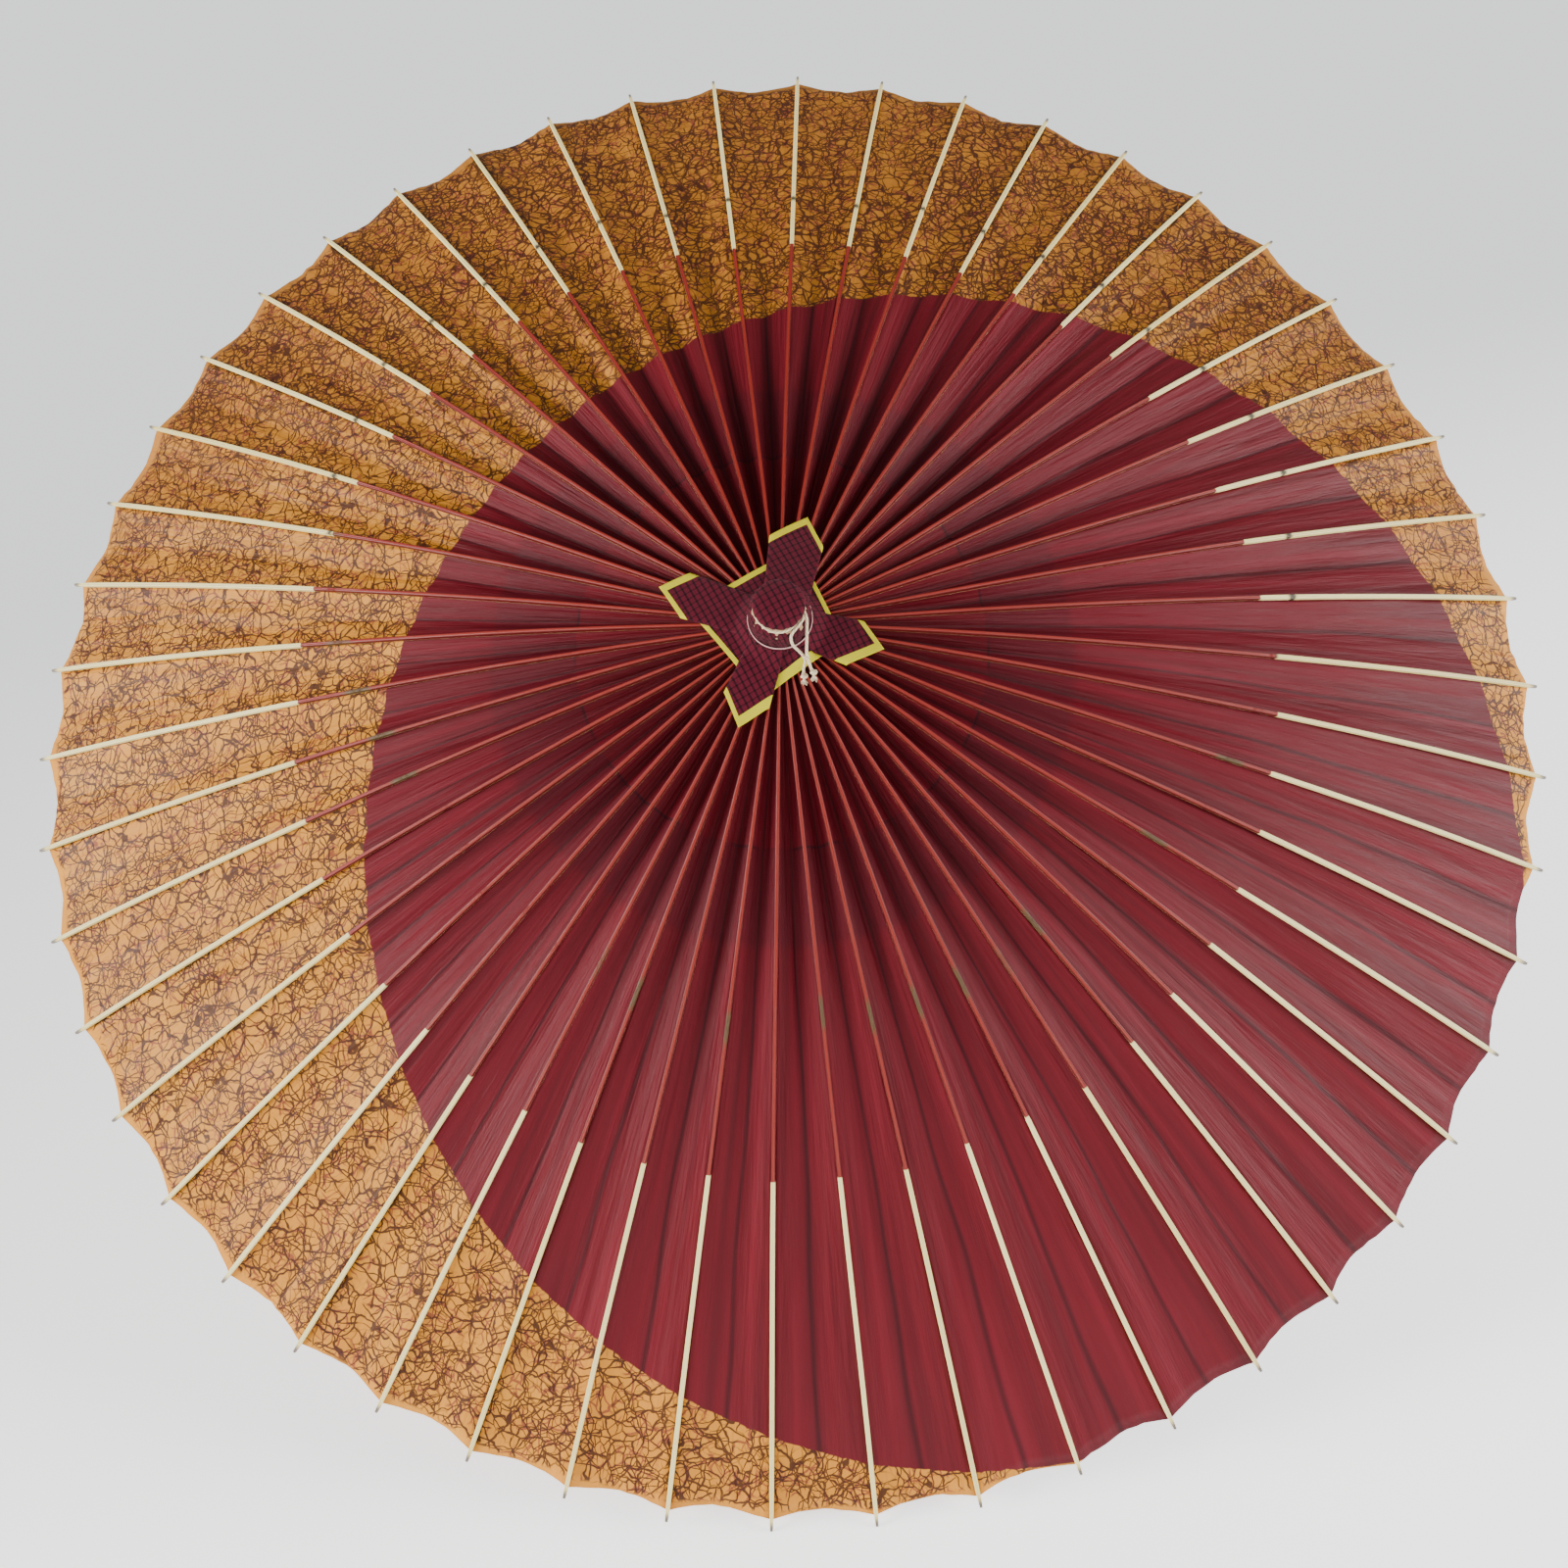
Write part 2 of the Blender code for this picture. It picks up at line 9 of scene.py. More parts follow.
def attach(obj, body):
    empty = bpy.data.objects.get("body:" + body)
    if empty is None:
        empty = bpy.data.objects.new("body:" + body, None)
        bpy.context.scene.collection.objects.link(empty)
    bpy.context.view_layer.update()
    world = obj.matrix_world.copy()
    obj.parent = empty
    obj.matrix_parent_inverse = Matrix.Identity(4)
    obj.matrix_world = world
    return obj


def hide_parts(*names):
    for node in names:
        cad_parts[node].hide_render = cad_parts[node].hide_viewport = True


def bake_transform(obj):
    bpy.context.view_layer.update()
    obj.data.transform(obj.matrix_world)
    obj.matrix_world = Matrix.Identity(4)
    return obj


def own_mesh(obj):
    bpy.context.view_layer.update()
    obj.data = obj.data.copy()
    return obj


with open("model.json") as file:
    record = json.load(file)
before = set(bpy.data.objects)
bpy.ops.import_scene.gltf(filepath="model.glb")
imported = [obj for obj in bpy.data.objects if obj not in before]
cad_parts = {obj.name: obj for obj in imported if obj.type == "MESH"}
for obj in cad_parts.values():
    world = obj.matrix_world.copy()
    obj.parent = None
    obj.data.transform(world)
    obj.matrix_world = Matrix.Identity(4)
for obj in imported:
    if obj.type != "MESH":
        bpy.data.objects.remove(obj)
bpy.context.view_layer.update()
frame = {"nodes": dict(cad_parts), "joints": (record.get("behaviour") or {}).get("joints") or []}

# The umbrella stands open on its lowest rib tips and on the end of its handle, on a pale floor.
# Its own axes start in the middle of the hub's rib pivots: X to the right, Y up the open canopy
# and Z out of its top. Every mesh is made in those axes and then leaned over with the frame.
joints = {joint["name"]: joint for joint in frame["joints"]}
near_pivot = Vector(joints["fold"]["pos_m"])
far_pivot = Vector(joints["rib_hinge_14"]["pos_m"])
hub_middle = (near_pivot + far_pivot) / 2
top_axis = (near_pivot - hub_middle).normalized().cross(Vector(joints["fold"]["axis"]))
lean = math.atan2(-top_axis.y, top_axis.z)
stand = Matrix.Translation(hub_middle) @ Matrix.Rotation(lean, 4, "X")

eye = bpy.data.cameras.new("eye")
eye.lens = 38.9
camera = bpy.data.objects.new("eye", eye)
camera.location = (0.0051, -1.0923, 0.9845)
camera.rotation_euler = [math.radians(angle) for angle in (59.20, 2.60, -1.08)]
bpy.context.scene.collection.objects.link(camera)
bpy.context.scene.camera = camera

# A pale matt floor, painted lighter towards the front and giving off some light of its own there,
# stands in a studio whose walls darken with height. Two wide soft windows light it from the sides.


def node(tree, kind, inputs=None, **settings):
    """Adds a shader node; an input is a plain value or another node's output."""
    made = tree.nodes.new(kind)
    for setting, value in settings.items():
        setattr(made, setting, value)
    for socket, value in (inputs or {}).items():
        if isinstance(value, bpy.types.NodeSocket):
            tree.links.new(value, made.inputs[socket])
        else:
            made.inputs[socket].default_value = value
    return made


def vector_maths(tree, operation, inputs):
    return node(tree, "ShaderNodeVectorMath", inputs, operation=operation)


def blend_colours(tree, share, low, high):
    inputs = {0: share, 6: low, 7: high}
    return node(tree, "ShaderNodeMix", inputs, data_type="RGBA", blend_type="MIX").outputs[2]


def between(tree, value, start, end, low=0.0, high=1.0):
    """Runs smoothly from low to high as the value goes from start to end."""
    inputs = {"Value": value, "From Min": start, "From Max": end, "To Min": low, "To Max": high}
    return node(tree, "ShaderNodeMapRange", inputs, interpolation_type="SMOOTHSTEP").outputs[0]


def finish(name, roughness, specular=0.5):
    material = bpy.data.materials.new(name)
    material.use_nodes = True
    shader = material.node_tree.nodes["Principled BSDF"]
    shader.inputs["Roughness"].default_value = roughness
    shader.inputs["Specular IOR Level"].default_value = specular
    return material, material.node_tree, shader


floor_paint, tree, shader = finish("matt_floor", 0.75, 0.25)
place = node(tree, "ShaderNodeTexCoord").outputs["Object"]
into_room = vector_maths(tree, "DOT_PRODUCT", {0: place, 1: (-0.45, 0.9, 0.0)}).outputs["Value"]
near = between(tree, into_room, 1.6, -0.9)
tree.links.new(
    blend_colours(tree, near, (0.62, 0.63, 0.62, 1.0), (0.96, 0.96, 0.96, 1.0)),
    shader.inputs["Base Color"],
)
glow = blend_colours(tree, near, (0.24, 0.25, 0.25, 1.0), (1.0, 1.0, 1.0, 1.0))
tree.links.new(glow, shader.inputs["Emission Color"])
shader.inputs["Emission Strength"].default_value = 1.6
bm = bmesh.new()
bmesh.ops.create_grid(bm, x_segments=2, y_segments=2, size=30.0)
mesh = bpy.data.meshes.new("floor")
bm.to_mesh(mesh)
bm.free()
mesh.materials.append(floor_paint)
floor = bpy.data.objects.new("floor", mesh)
bpy.context.scene.collection.objects.link(floor)

sky = bpy.data.worlds.new("studio")
sky.use_nodes = True
tree = sky.node_tree
walls = tree.nodes["Background"]
walls.inputs["Color"].default_value = (0.93, 0.96, 1.0, 1.0)
looking = node(tree, "ShaderNodeTexCoord").outputs["Generated"]
upwards = node(tree, "ShaderNodeSeparateXYZ", {0: looking}).outputs[2]
tree.links.new(between(tree, upwards, 0.02, 0.34, 2.5, 0.42), walls.inputs["Strength"])
bpy.context.scene.world = sky


def lamp(name, place, strength, spread, colour):
    """Soft studio light from a direction, as wide as the given angle."""
    light = bpy.data.lights.new(name, "SUN")
    light.energy = strength
    light.angle = math.radians(spread)
    light.color = colour
    holder = bpy.data.objects.new(name, light)
    holder.location = place
    holder.rotation_euler = Vector(place).to_track_quat("Z", "Y").to_euler()
    bpy.context.scene.collection.objects.link(holder)


lamp("left_window", (-2.6, -0.65, 0.75), 6.0, 30.0, (1.0, 0.985, 0.96))
lamp("right_window", (2.6, -0.30, 0.80), 4.6, 34.0, (1.0, 0.99, 0.98))


# Fifty ribs split from one bamboo culm, pared thin at the hub. Their outer faces are lacquered
# vermilion for the inner three fifths and left bare outside it, a little wider there, with the
# dark scars of the culm's joint. Every second rib is a body of the frame and carries its neighbour.
rib_count = 50
rib_step = 360.0 / rib_count
pivot_radius = (near_pivot - hub_middle).length
rib_root = Vector((pivot_radius, 0.0, 0.0))
canopy_radius, canopy_depth = 0.550, 0.208
rib_chord = Vector((canopy_radius, 0.0, -canopy_depth)) - rib_root
rib_square = Vector((-rib_chord.z, 0.0, rib_chord.x)).normalized()
rib_bow = 0.0174
paint_end = 0.576
step_start, step_end = 0.5735, 0.5785
# share of the rib's length, width, depth
rib_sizes = (
    (0.000, 0.0013, 0.0032), (0.021, 0.0013, 0.0034), (0.042, 0.0019, 0.0037),
    (0.105, 0.0021, 0.0038), (0.175, 0.0023, 0.0040), (0.290, 0.0024, 0.0040),
    (0.380, 0.0024, 0.0032), (step_start, 0.0025, 0.0028), (step_end, 0.0030, 0.0031),
    (0.955, 0.0031, 0.0030), (0.983, 0.0027, 0.0027), (1.000, 0.0018, 0.0022),
)


def add_piece(name, bm, materials, body, smooth=None):
    """Leans a finished mesh over with the frame and lets it ride on a body."""
    bm.transform(stand)
    mesh = bpy.data.meshes.new(name)
    bm.to_mesh(mesh)
    bm.free()
    for material in materials:
        mesh.materials.append(material)
    if smooth is not None:
        mesh.shade_smooth()
        mesh.set_sharp_from_angle(angle=math.radians(smooth))
    piece = bpy.data.objects.new(name, mesh)
    bpy.context.scene.collection.objects.link(piece)
    if body:
        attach(piece, body)
    return piece


def rib_line(share):
    """Middle of a rib, in the plane of the shaft, at a share of its length."""
    return rib_root + rib_chord * share + rib_square * 4.0 * rib_bow * share * (1.0 - share)


def rib_out(share):
    along = rib_chord + rib_square * 4.0 * rib_bow * (1.0 - 2.0 * share)
    return Vector((-along.z, 0.0, along.x)).normalized()


def rib_size(share):
    for (start, width, depth), (end, next_width, next_depth) in zip(rib_sizes, rib_sizes[1:]):
        if share <= end:
            part = max(0.0, (share - start) / (end - start))
            return width + (next_width - width) * part, depth + (next_depth - depth) * part
    return rib_sizes[-1][1:]


def spoke(azimuth):
    """Turn from the plane y = 0 to an azimuth counted from the front of the umbrella."""
    return Matrix.Rotation(math.radians(azimuth - 90.0), 4, "Z")


def draw_in(piece):
    """Gives a piece beside a hinged rib a mesh of its own."""
    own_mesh(piece)


# azimuths of the ribs that are bodies, then for each place round the umbrella its azimuth, the
# number of the body that carries it, and whether it is that body's own rib
half_round = [rib_step / 2 + 2 * rib_step * step for step in range(rib_count // 4 + 1)]
hinged = half_round + [360.0 - azimuth for azimuth in reversed(half_round)]
carried = []
for number in range(rib_count):
    azimuth = rib_step * (number + 0.5)
    away = [abs(azimuth - own) for own in hinged]
    carried.append((azimuth, away.index(min(away)) + 1, min(away) < 0.1))


def maths(tree, operation, first, second=0.0):
    return node(tree, "ShaderNodeMath", {0: first, 1: second}, operation=operation).outputs[0]


def times(tree, first, second):
    return maths(tree, "MULTIPLY", first, second)


def plus(tree, first, second):
    return maths(tree, "ADD", first, second)


def minus(tree, first, second):
    return maths(tree, "SUBTRACT", first, second)


def absolute(tree, value):
    """The value without its sign."""
    return maths(tree, "ABSOLUTE", value)


def grain(tree, vector, scale, detail=3.0, roughness=0.5):
    inputs = {"Vector": vector, "Scale": scale, "Detail": detail, "Roughness": roughness}
    return node(tree, "ShaderNodeTexNoise", inputs).outputs["Fac"]


def stretched(tree, vector, scale):
    return node(tree, "ShaderNodeMapping", {"Vector": vector, "Scale": scale}).outputs[0]


def bumped(tree, shader, height, distance, strength=1.0):
    inputs = {"Height": height, "Distance": distance, "Strength": strength}
    tree.links.new(node(tree, "ShaderNodeBump", inputs).outputs[0], shader.inputs["Normal"])


bamboo, tree, shader = finish("rib_bamboo", 0.42, 0.30)
laid = node(tree, "ShaderNodeUVMap", uv_map="rib")
parts = node(tree, "ShaderNodeSeparateXYZ", {0: laid.outputs[0]})
along, sideways = parts.outputs[0], parts.outputs[1]
number = maths(tree, "ROUND", sideways)
side = minus(tree, sideways, number)
own = node(tree, "ShaderNodeTexWhiteNoise", {"W": number}, noise_dimensions="1D")
own_parts = node(tree, "ShaderNodeSeparateXYZ", {0: own.outputs["Color"]})
fibres = grain(tree, stretched(tree, laid.outputs[0], (9.0, 14.0, 1.0)), 1.0, 4.0, 0.7)
streaks = grain(tree, stretched(tree, laid.outputs[0], (40.0, 26.0, 1.0)), 1.0, 2.0)
bare = blend_colours(tree, fibres, (0.58, 0.44, 0.14, 1.0), (0.84, 0.71, 0.31, 1.0))
bare = blend_colours(tree, times(tree, own_parts.outputs[0], 0.45), bare, (0.93, 0.83, 0.42, 1.0))
tip_dark = between(tree, along, 0.985, 0.996)
bare = blend_colours(tree, tip_dark, bare, (0.16, 0.13, 0.10, 1.0))
# the scar of the culm's joint wanders from rib to rib, as the ribs were split in order
turn = times(tree, minus(tree, number, 23.0), math.tau / rib_count)
swing = times(tree, maths(tree, "COSINE", turn), 1.8)
swing = maths(tree, "MINIMUM", maths(tree, "MAXIMUM", swing, -1.0), 1.0)
scar_place = times(tree, plus(tree, swing, times(tree, own_parts.outputs[1], 0.22)), 0.14)
scar_place = plus(tree, scar_place, 0.525)
from_scar = absolute(tree, minus(tree, along, scar_place))
blot = plus(tree, from_scar, times(tree, minus(tree, streaks, 0.5), 0.020))
scar = between(tree, blot, 0.0060, 0.0020)
worn = between(tree, blot, 0.024, 0.012)
worn = times(tree, worn, between(tree, own_parts.outputs[2], 0.25, 0.55))
bare = blend_colours(tree, scar, bare, (0.055, 0.045, 0.03, 1.0))
# painted highlight and shade: the lacquer lighter along the middle of each rib's face and darker
# towards and down its sides
edge = between(tree, absolute(tree, side), 0.10, 0.42)
lacquer = blend_colours(tree, edge, (0.26, 0.017, 0.007, 1.0), (0.09, 0.004, 0.004, 1.0))
lacquer = blend_colours(tree, times(tree, fibres, 0.5), lacquer, (0.17, 0.011, 0.007, 1.0))
lacquer = blend_colours(tree, times(tree, worn, 0.85), lacquer, (0.070, 0.052, 0.016, 1.0))
jagged = plus(tree, along, times(tree, minus(tree, own_parts.outputs[0], 0.5), 0.010))
is_bare = between(tree, jagged, paint_end - 0.0006, paint_end + 0.0006)
under = node(tree, "ShaderNodeAttribute", attribute_name="under").outputs["Fac"]
under = maths(tree, "GREATER_THAN", under, 0.94)
is_bare = maths(tree, "MAXIMUM", is_bare, under)
tree.links.new(blend_colours(tree, is_bare, lacquer, bare), shader.inputs["Base Color"])
tree.links.new(between(tree, fibres, 0.2, 0.8, 0.34, 0.52), shader.inputs["Roughness"])
bumped(tree, shader, plus(tree, fibres, times(tree, scar, 1.5)), 0.00012, 0.8)


def everything(bm):
    return bm.verts[:] + bm.edges[:] + bm.faces[:]


def rib_blank():
    """A straight bar from 0 to 1 along X, of width and depth 1, with a worked outer face."""
    bm = bmesh.new()
    bmesh.ops.create_cube(bm, size=1.0, matrix=Matrix.Translation((0.5, 0.0, 0.0)))
    corners = [
        e for e in bm.edges
        if all(v.co.z > 0.0 for v in e.verts) and abs(e.verts[0].co.x - e.verts[1].co.x) > 0.5
    ]
    bmesh.ops.bevel(
        bm, geom=corners, offset=0.2, offset_type="OFFSET", segments=2, profile=0.5,
        affect="EDGES", material=-1,
    )
    for place in (-0.07, 0.0, 0.07):
        bmesh.ops.bisect_plane(
            bm, geom=everything(bm), dist=1e-5, plane_co=(0, place, 0), plane_no=(0, 1, 0)
        )
    for vertex in bm.verts:
        if vertex.co.z > 0.4 and abs(vertex.co.y) < 0.01:
            vertex.co.z -= 0.05
    cuts = [step / 40.0 for step in range(1, 40)]
    cuts += [step_start, step_end, 0.985, 0.021, 0.042]
    for place in cuts:
        bmesh.ops.bisect_plane(
            bm, geom=everything(bm), dist=1e-5, plane_co=(place, 0, 0), plane_no=(1, 0, 0)
        )
    return bm


blank = rib_blank()
blank_mesh = bpy.data.meshes.new("rib_blank")
blank.to_mesh(blank_mesh)
blank.free()
tongue = 0.0028
rib_wander = 0.0011
for number, (azimuth, holder, is_hinged) in enumerate(carried):
    bm = bmesh.new()
    bm.from_mesh(blank_mesh)
    laid = bm.loops.layers.uv.new("rib")
    under = bm.verts.layers.float.new("under")
    for face in bm.faces:
        for loop in face.loops:
            place = loop.vert.co
            loop[laid].uv = (place.x, place.y * 0.9 + number)
    turn = spoke(azimuth)
    for vertex in bm.verts:
        vertex[under] = 1.0 if vertex.co.z < -0.4 else 0.0
        share = vertex.co.x * (1.0 + tongue) - tongue
        width, depth = rib_size(share)
        wander = rib_wander * math.sin(math.pi * share)
        wander *= noise.noise(Vector((number * 3.7, share * 1.5, 0.0)))
        middle = rib_line(share) + rib_out(share) * vertex.co.z * depth
        vertex.co = turn @ (middle + Vector((0.0, vertex.co.y * width + wander, 0.0)))
    name = f"bamboo_rib_{number + 1:02d}"
    rib = add_piece(name, bm, [bamboo], f"rib_{holder:02d}", smooth=40)
    if is_hinged:
        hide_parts(f"rib_{holder:02d}")
    else:
        draw_in(rib)
bpy.data.meshes.remove(blank_mesh)

# Oiled mulberry paper, pasted under the ribs in one cover: a crimson moon set off centre in ochre
# paper with a printed net of fine cracks, over a darker second layer of paper round the hub. It is
# made here as one panel for each hinged rib; they meet edge to edge under the ribs between.
paper_thickness = 0.0004
paper_start, paper_end = 0.021, 0.988
gore_columns, paper_rows = 12, 52
moon_middle = (0.119, -0.119, 0.0)
moon_radius = 0.3990
second_layer = (0.132, 0.190)

paper, tree, shader = finish("oiled_paper", 0.5, 0.13)
flat = node(tree, "ShaderNodeUVMap", uv_map="flat").outputs[0]
gore = node(tree, "ShaderNodeUVMap", uv_map="gore").outputs[0]
gore_parts = node(tree, "ShaderNodeSeparateXYZ", {0: gore})
down, round_place = gore_parts.outputs[0], gore_parts.outputs[1]
radius = vector_maths(tree, "LENGTH", {0: flat}).outputs["Value"]
moon = vector_maths(tree, "DISTANCE", {0: flat, 1: moon_middle}).outputs["Value"]
torn = times(tree, minus(tree, grain(tree, flat, 160.0, 2.0), 0.5), 0.0030)
is_ochre = between(tree, plus(tree, moon, torn), moon_radius - 0.0004, moon_radius + 0.0004)

# the lines of the net are bent by shifting the places that they are drawn from
swirl = node(tree, "ShaderNodeTexNoise", {"Vector": flat, "Scale": 42.0, "Detail": 3.0})
swirl = vector_maths(tree, "SUBTRACT", {0: swirl.outputs["Color"], 1: (0.5, 0.5, 0.5)}).outputs[0]
swirl = vector_maths(tree, "SCALE", {0: swirl, "Scale": 0.016}).outputs[0]
swirl = vector_maths(tree, "ADD", {0: flat, 1: swirl}).outputs[0]


def cracks(scale, offset, width):
    """A net of fine lines, the edges between the cells of a random mosaic."""
    moved = vector_maths(tree, "ADD", {0: swirl, 1: (offset, offset * 0.7, 0.0)}).outputs[0]
    cells = node(
        tree, "ShaderNodeTexVoronoi", {"Vector": moved, "Scale": scale}, feature="DISTANCE_TO_EDGE",
        voronoi_dimensions="2D",
    )
    return between(tree, cells.outputs["Distance"], width * scale, width * scale * 0.35)


def stray_lines(angle, spacing):
    """Long fine lines that run roughly one way, wander a little and break off."""
    rotation = (0.0, 0.0, math.radians(angle))
    inputs = {"Vector": flat, "Rotation": rotation, "Scale": (1.0 / spacing,) * 3}
    turned = node(tree, "ShaderNodeMapping", inputs).outputs[0]
    wander = times(tree, grain(tree, turned, 0.42, 3.0, 0.55), 2.6)
    phase = plus(tree, node(tree, "ShaderNodeSeparateXYZ", {0: turned}).outputs[0], wander)
    off_line = absolute(tree, minus(tree, maths(tree, "FRACT", phase), 0.5))
    line = between(tree, off_line, 0.00072 / spacing, 0.00034 / spacing)
    return times(tree, line, between(tree, grain(tree, turned, 0.9, 1.0), 0.38, 0.44))


crowd = between(tree, grain(tree, flat, 26.0, 2.0), 0.40, 0.58)
rare = between(tree, grain(tree, flat, 55.0, 1.0), 0.42, 0.54)
net = cracks(66.0, 0.0, 0.00085)
for angle, spacing in (
    (8.0, 0.0170), (43.0, 0.0205), (74.0, 0.0150), (109.0, 0.0220), (151.0, 0.0185),
):
    net = maths(tree, "MAXIMUM", net, stray_lines(angle, spacing))
net = maths(tree, "MAXIMUM", net, times(tree, cracks(150.0, 3.1, 0.00065), crowd))
wine_net = maths(tree, "MAXIMUM", stray_lines(27.0, 0.0160), stray_lines(128.0, 0.0190))
wine_net = times(tree, maths(tree, "MAXIMUM", wine_net, cracks(105.0, 5.3, 0.00085)), rare)
# the net is printed closer towards the back of the cover, where the ochre is also darkened as
# painted shade
back = between(tree, node(tree, "ShaderNodeSeparateXYZ", {0: flat}).outputs[1], 0.00, 0.36)
patchy = between(tree, grain(tree, flat, 15.0, 2.0), 0.36, 0.52)
closer = times(tree, cracks(92.0, 7.7, 0.00125), times(tree, back, patchy))
net = maths(tree, "MAXIMUM", net, closer)
edge_dip = times(tree, grain(tree, flat, 18.0, 1.0), 0.03)
hem = between(tree, plus(tree, down, edge_dip), 0.990, 0.996)
kept = minus(tree, 1.0, hem)
ochre = blend_colours(
    tree, grain(tree, flat, 24.0, 4.0), (0.42, 0.150, 0.009, 1.0), (0.70, 0.315, 0.032, 1.0)
)
ochre = blend_colours(
    tree, times(tree, grain(tree, flat, 7.0, 2.0), 0.55), ochre, (0.52, 0.175, 0.010, 1.0)
)
# painted shade: the ochre darker towards the back of the cover
ochre = blend_colours(tree, times(tree, back, 0.62), ochre, (0.24, 0.082, 0.008, 1.0))
ochre = blend_colours(
    tree, times(tree, wine_net, times(tree, kept, 0.75)), ochre, (0.15, 0.014, 0.022, 1.0)
)
ochre = blend_colours(
    tree, times(tree, net, times(tree, kept, 0.92)), ochre, (0.032, 0.0045, 0.002, 1.0)
)

fine_creases = grain(tree, stretched(tree, gore, (7.0, 9.0, 1.0)), 1.0, 5.0, 0.62)
soft_creases = grain(tree, stretched(tree, gore, (3.0, 3.2, 1.0)), 1.0, 2.0)
crimson = blend_colours(
    tree, fine_creases, (0.084, 0.0020, 0.0056, 1.0), (0.138, 0.0046, 0.0118, 1.0)
)
# painted shade and painted highlight: long streaks down each gore, darker and lighter crimson,
# stand for light on the folds
folds = grain(tree, stretched(tree, gore, (1.6, 5.0, 1.0)), 1.0, 1.0)
crimson = blend_colours(
    tree, between(tree, folds, 0.48, 0.68, 0.0, 0.40), crimson, (0.050, 0.0014, 0.0040, 1.0)
)
crimson = blend_colours(
    tree, between(tree, folds, 0.46, 0.30, 0.0, 0.40), crimson, (0.168, 0.0064, 0.0162, 1.0)
)
layered = times(tree, between(tree, radius, second_layer[0] - 0.001, second_layer[0] + 0.001),
                between(tree, radius, second_layer[1] + 0.004, second_layer[1] - 0.004))
crimson = blend_colours(tree, times(tree, layered, 0.42), crimson, (0.060, 0.003, 0.008, 1.0))
seam = between(tree, absolute(tree, minus(tree, radius, second_layer[0])), 0.0012, 0.0004)
seam = times(tree, seam, between(tree, grain(tree, flat, 30.0, 1.0), 0.46, 0.54))
crimson = blend_colours(tree, times(tree, seam, 0.75), crimson, (0.020, 0.003, 0.006, 1.0))
crimson = blend_colours(
    tree, times(tree, between(tree, down, 0.962, 0.985), 0.45), crimson, (0.055, 0.004, 0.008, 1.0)
)
# painted shade: the crimson is darker in the folds between the ribs near the hub
across_gore = absolute(tree, minus(tree, maths(tree, "FRACT", round_place), 0.5))
painted_valley_shade = times(tree, between(tree, across_gore, 0.34, 0.05), between(tree, down, 0.50, 0.10))
crimson = blend_colours(tree, times(tree, painted_valley_shade, 0.20), crimson, (0.022, 0.001, 0.002, 1.0))
# and a painted shadow darkens one long crease that wavers down the middle of each gore
waver = grain(tree, stretched(tree, gore, (4.0, 0.9, 1.0)), 1.0, 1.0)
waver = times(tree, minus(tree, waver, 0.5), 0.16)
crease = minus(tree, maths(tree, "FRACT", round_place), 0.5)
crease = absolute(tree, plus(tree, crease, waver))
crimson = blend_colours(
    tree, between(tree, crease, 0.055, 0.0, 0.0, 0.72), crimson, (0.028, 0.001, 0.003, 1.0)
)
tree.links.new(blend_colours(tree, is_ochre, crimson, ochre), shader.inputs["Base Color"])
tree.links.new(between(tree, fine_creases, 0.25, 0.75, 0.44, 0.58), shader.inputs["Roughness"])
pulp = grain(tree, flat, 900.0, 3.0)
relief = plus(tree, fine_creases, times(tree, soft_creases, 1.2))
relief = plus(tree, relief, times(tree, pulp, 0.05))
bumped(tree, shader, relief, 0.0018, 0.85)


def crease_depth(share):
    """How far the middle of a gore hangs below the line between its two ribs."""
    near_hub = min(1.0, share / 0.16)
    return 0.0012 + 0.0056 * near_hub * (1.0 - 0.5 * max(0.0, share - 0.25) / 0.75)


def paper_place(share, place):
    """A point of the paper, place being its gore's number and the share across that gore."""
    left = math.floor(place + 1e-6)
    part = min(1.0, max(0.0, place - left))
    drop = rib_size(share)[1] / 2 + 0.0003 + paper_thickness / 2
    point = rib_line(share) - rib_out(share) * drop
    ends = [spoke(rib_step * (rib + 0.5)) @ point for rib in (left, left + 1)]
    shift = 0.11 * noise.noise(Vector((left * 5.1, share * 3.0, 2.0)))
    bent = part + shift * 4.0 * part * (1.0 - part)
    from_middle = abs(2.0 * bent - 1.0)
    free = 1.0 - (2.0 * part - 1.0) ** 4
    fall = crease_depth(share) * (1.0 - math.sqrt((from_middle ** 2 + 0.012) / 1.012))
    fall *= 1.0 + 0.35 * noise.noise(Vector((left * 2.3, share * 4.0, 7.0)))
    across_gore = part * share * 11.0
    waves = 0.0013 * noise.noise(Vector((left * 9.0 + across_gore, share * 4.5, 0.0)))
    waves += 0.00055 * noise.noise(Vector((left * 3.0 + across_gore * 2.6, share * 11.0, 4.0)))
    up = (spoke(rib_step * (left + 0.5 + part)) @ rib_out(share)).normalized()
    return ends[0].lerp(ends[1], part) + up * (waves * free * min(1.0, share * 3.0) - fall)


def gores_held(index):
    """Gores on each side of a hinged rib that its panel covers; the close pairs share one."""
    before = 0 if index == len(hinged) // 2 else 1
    after = 0 if index == len(hinged) - 1 else 1
    return before, after


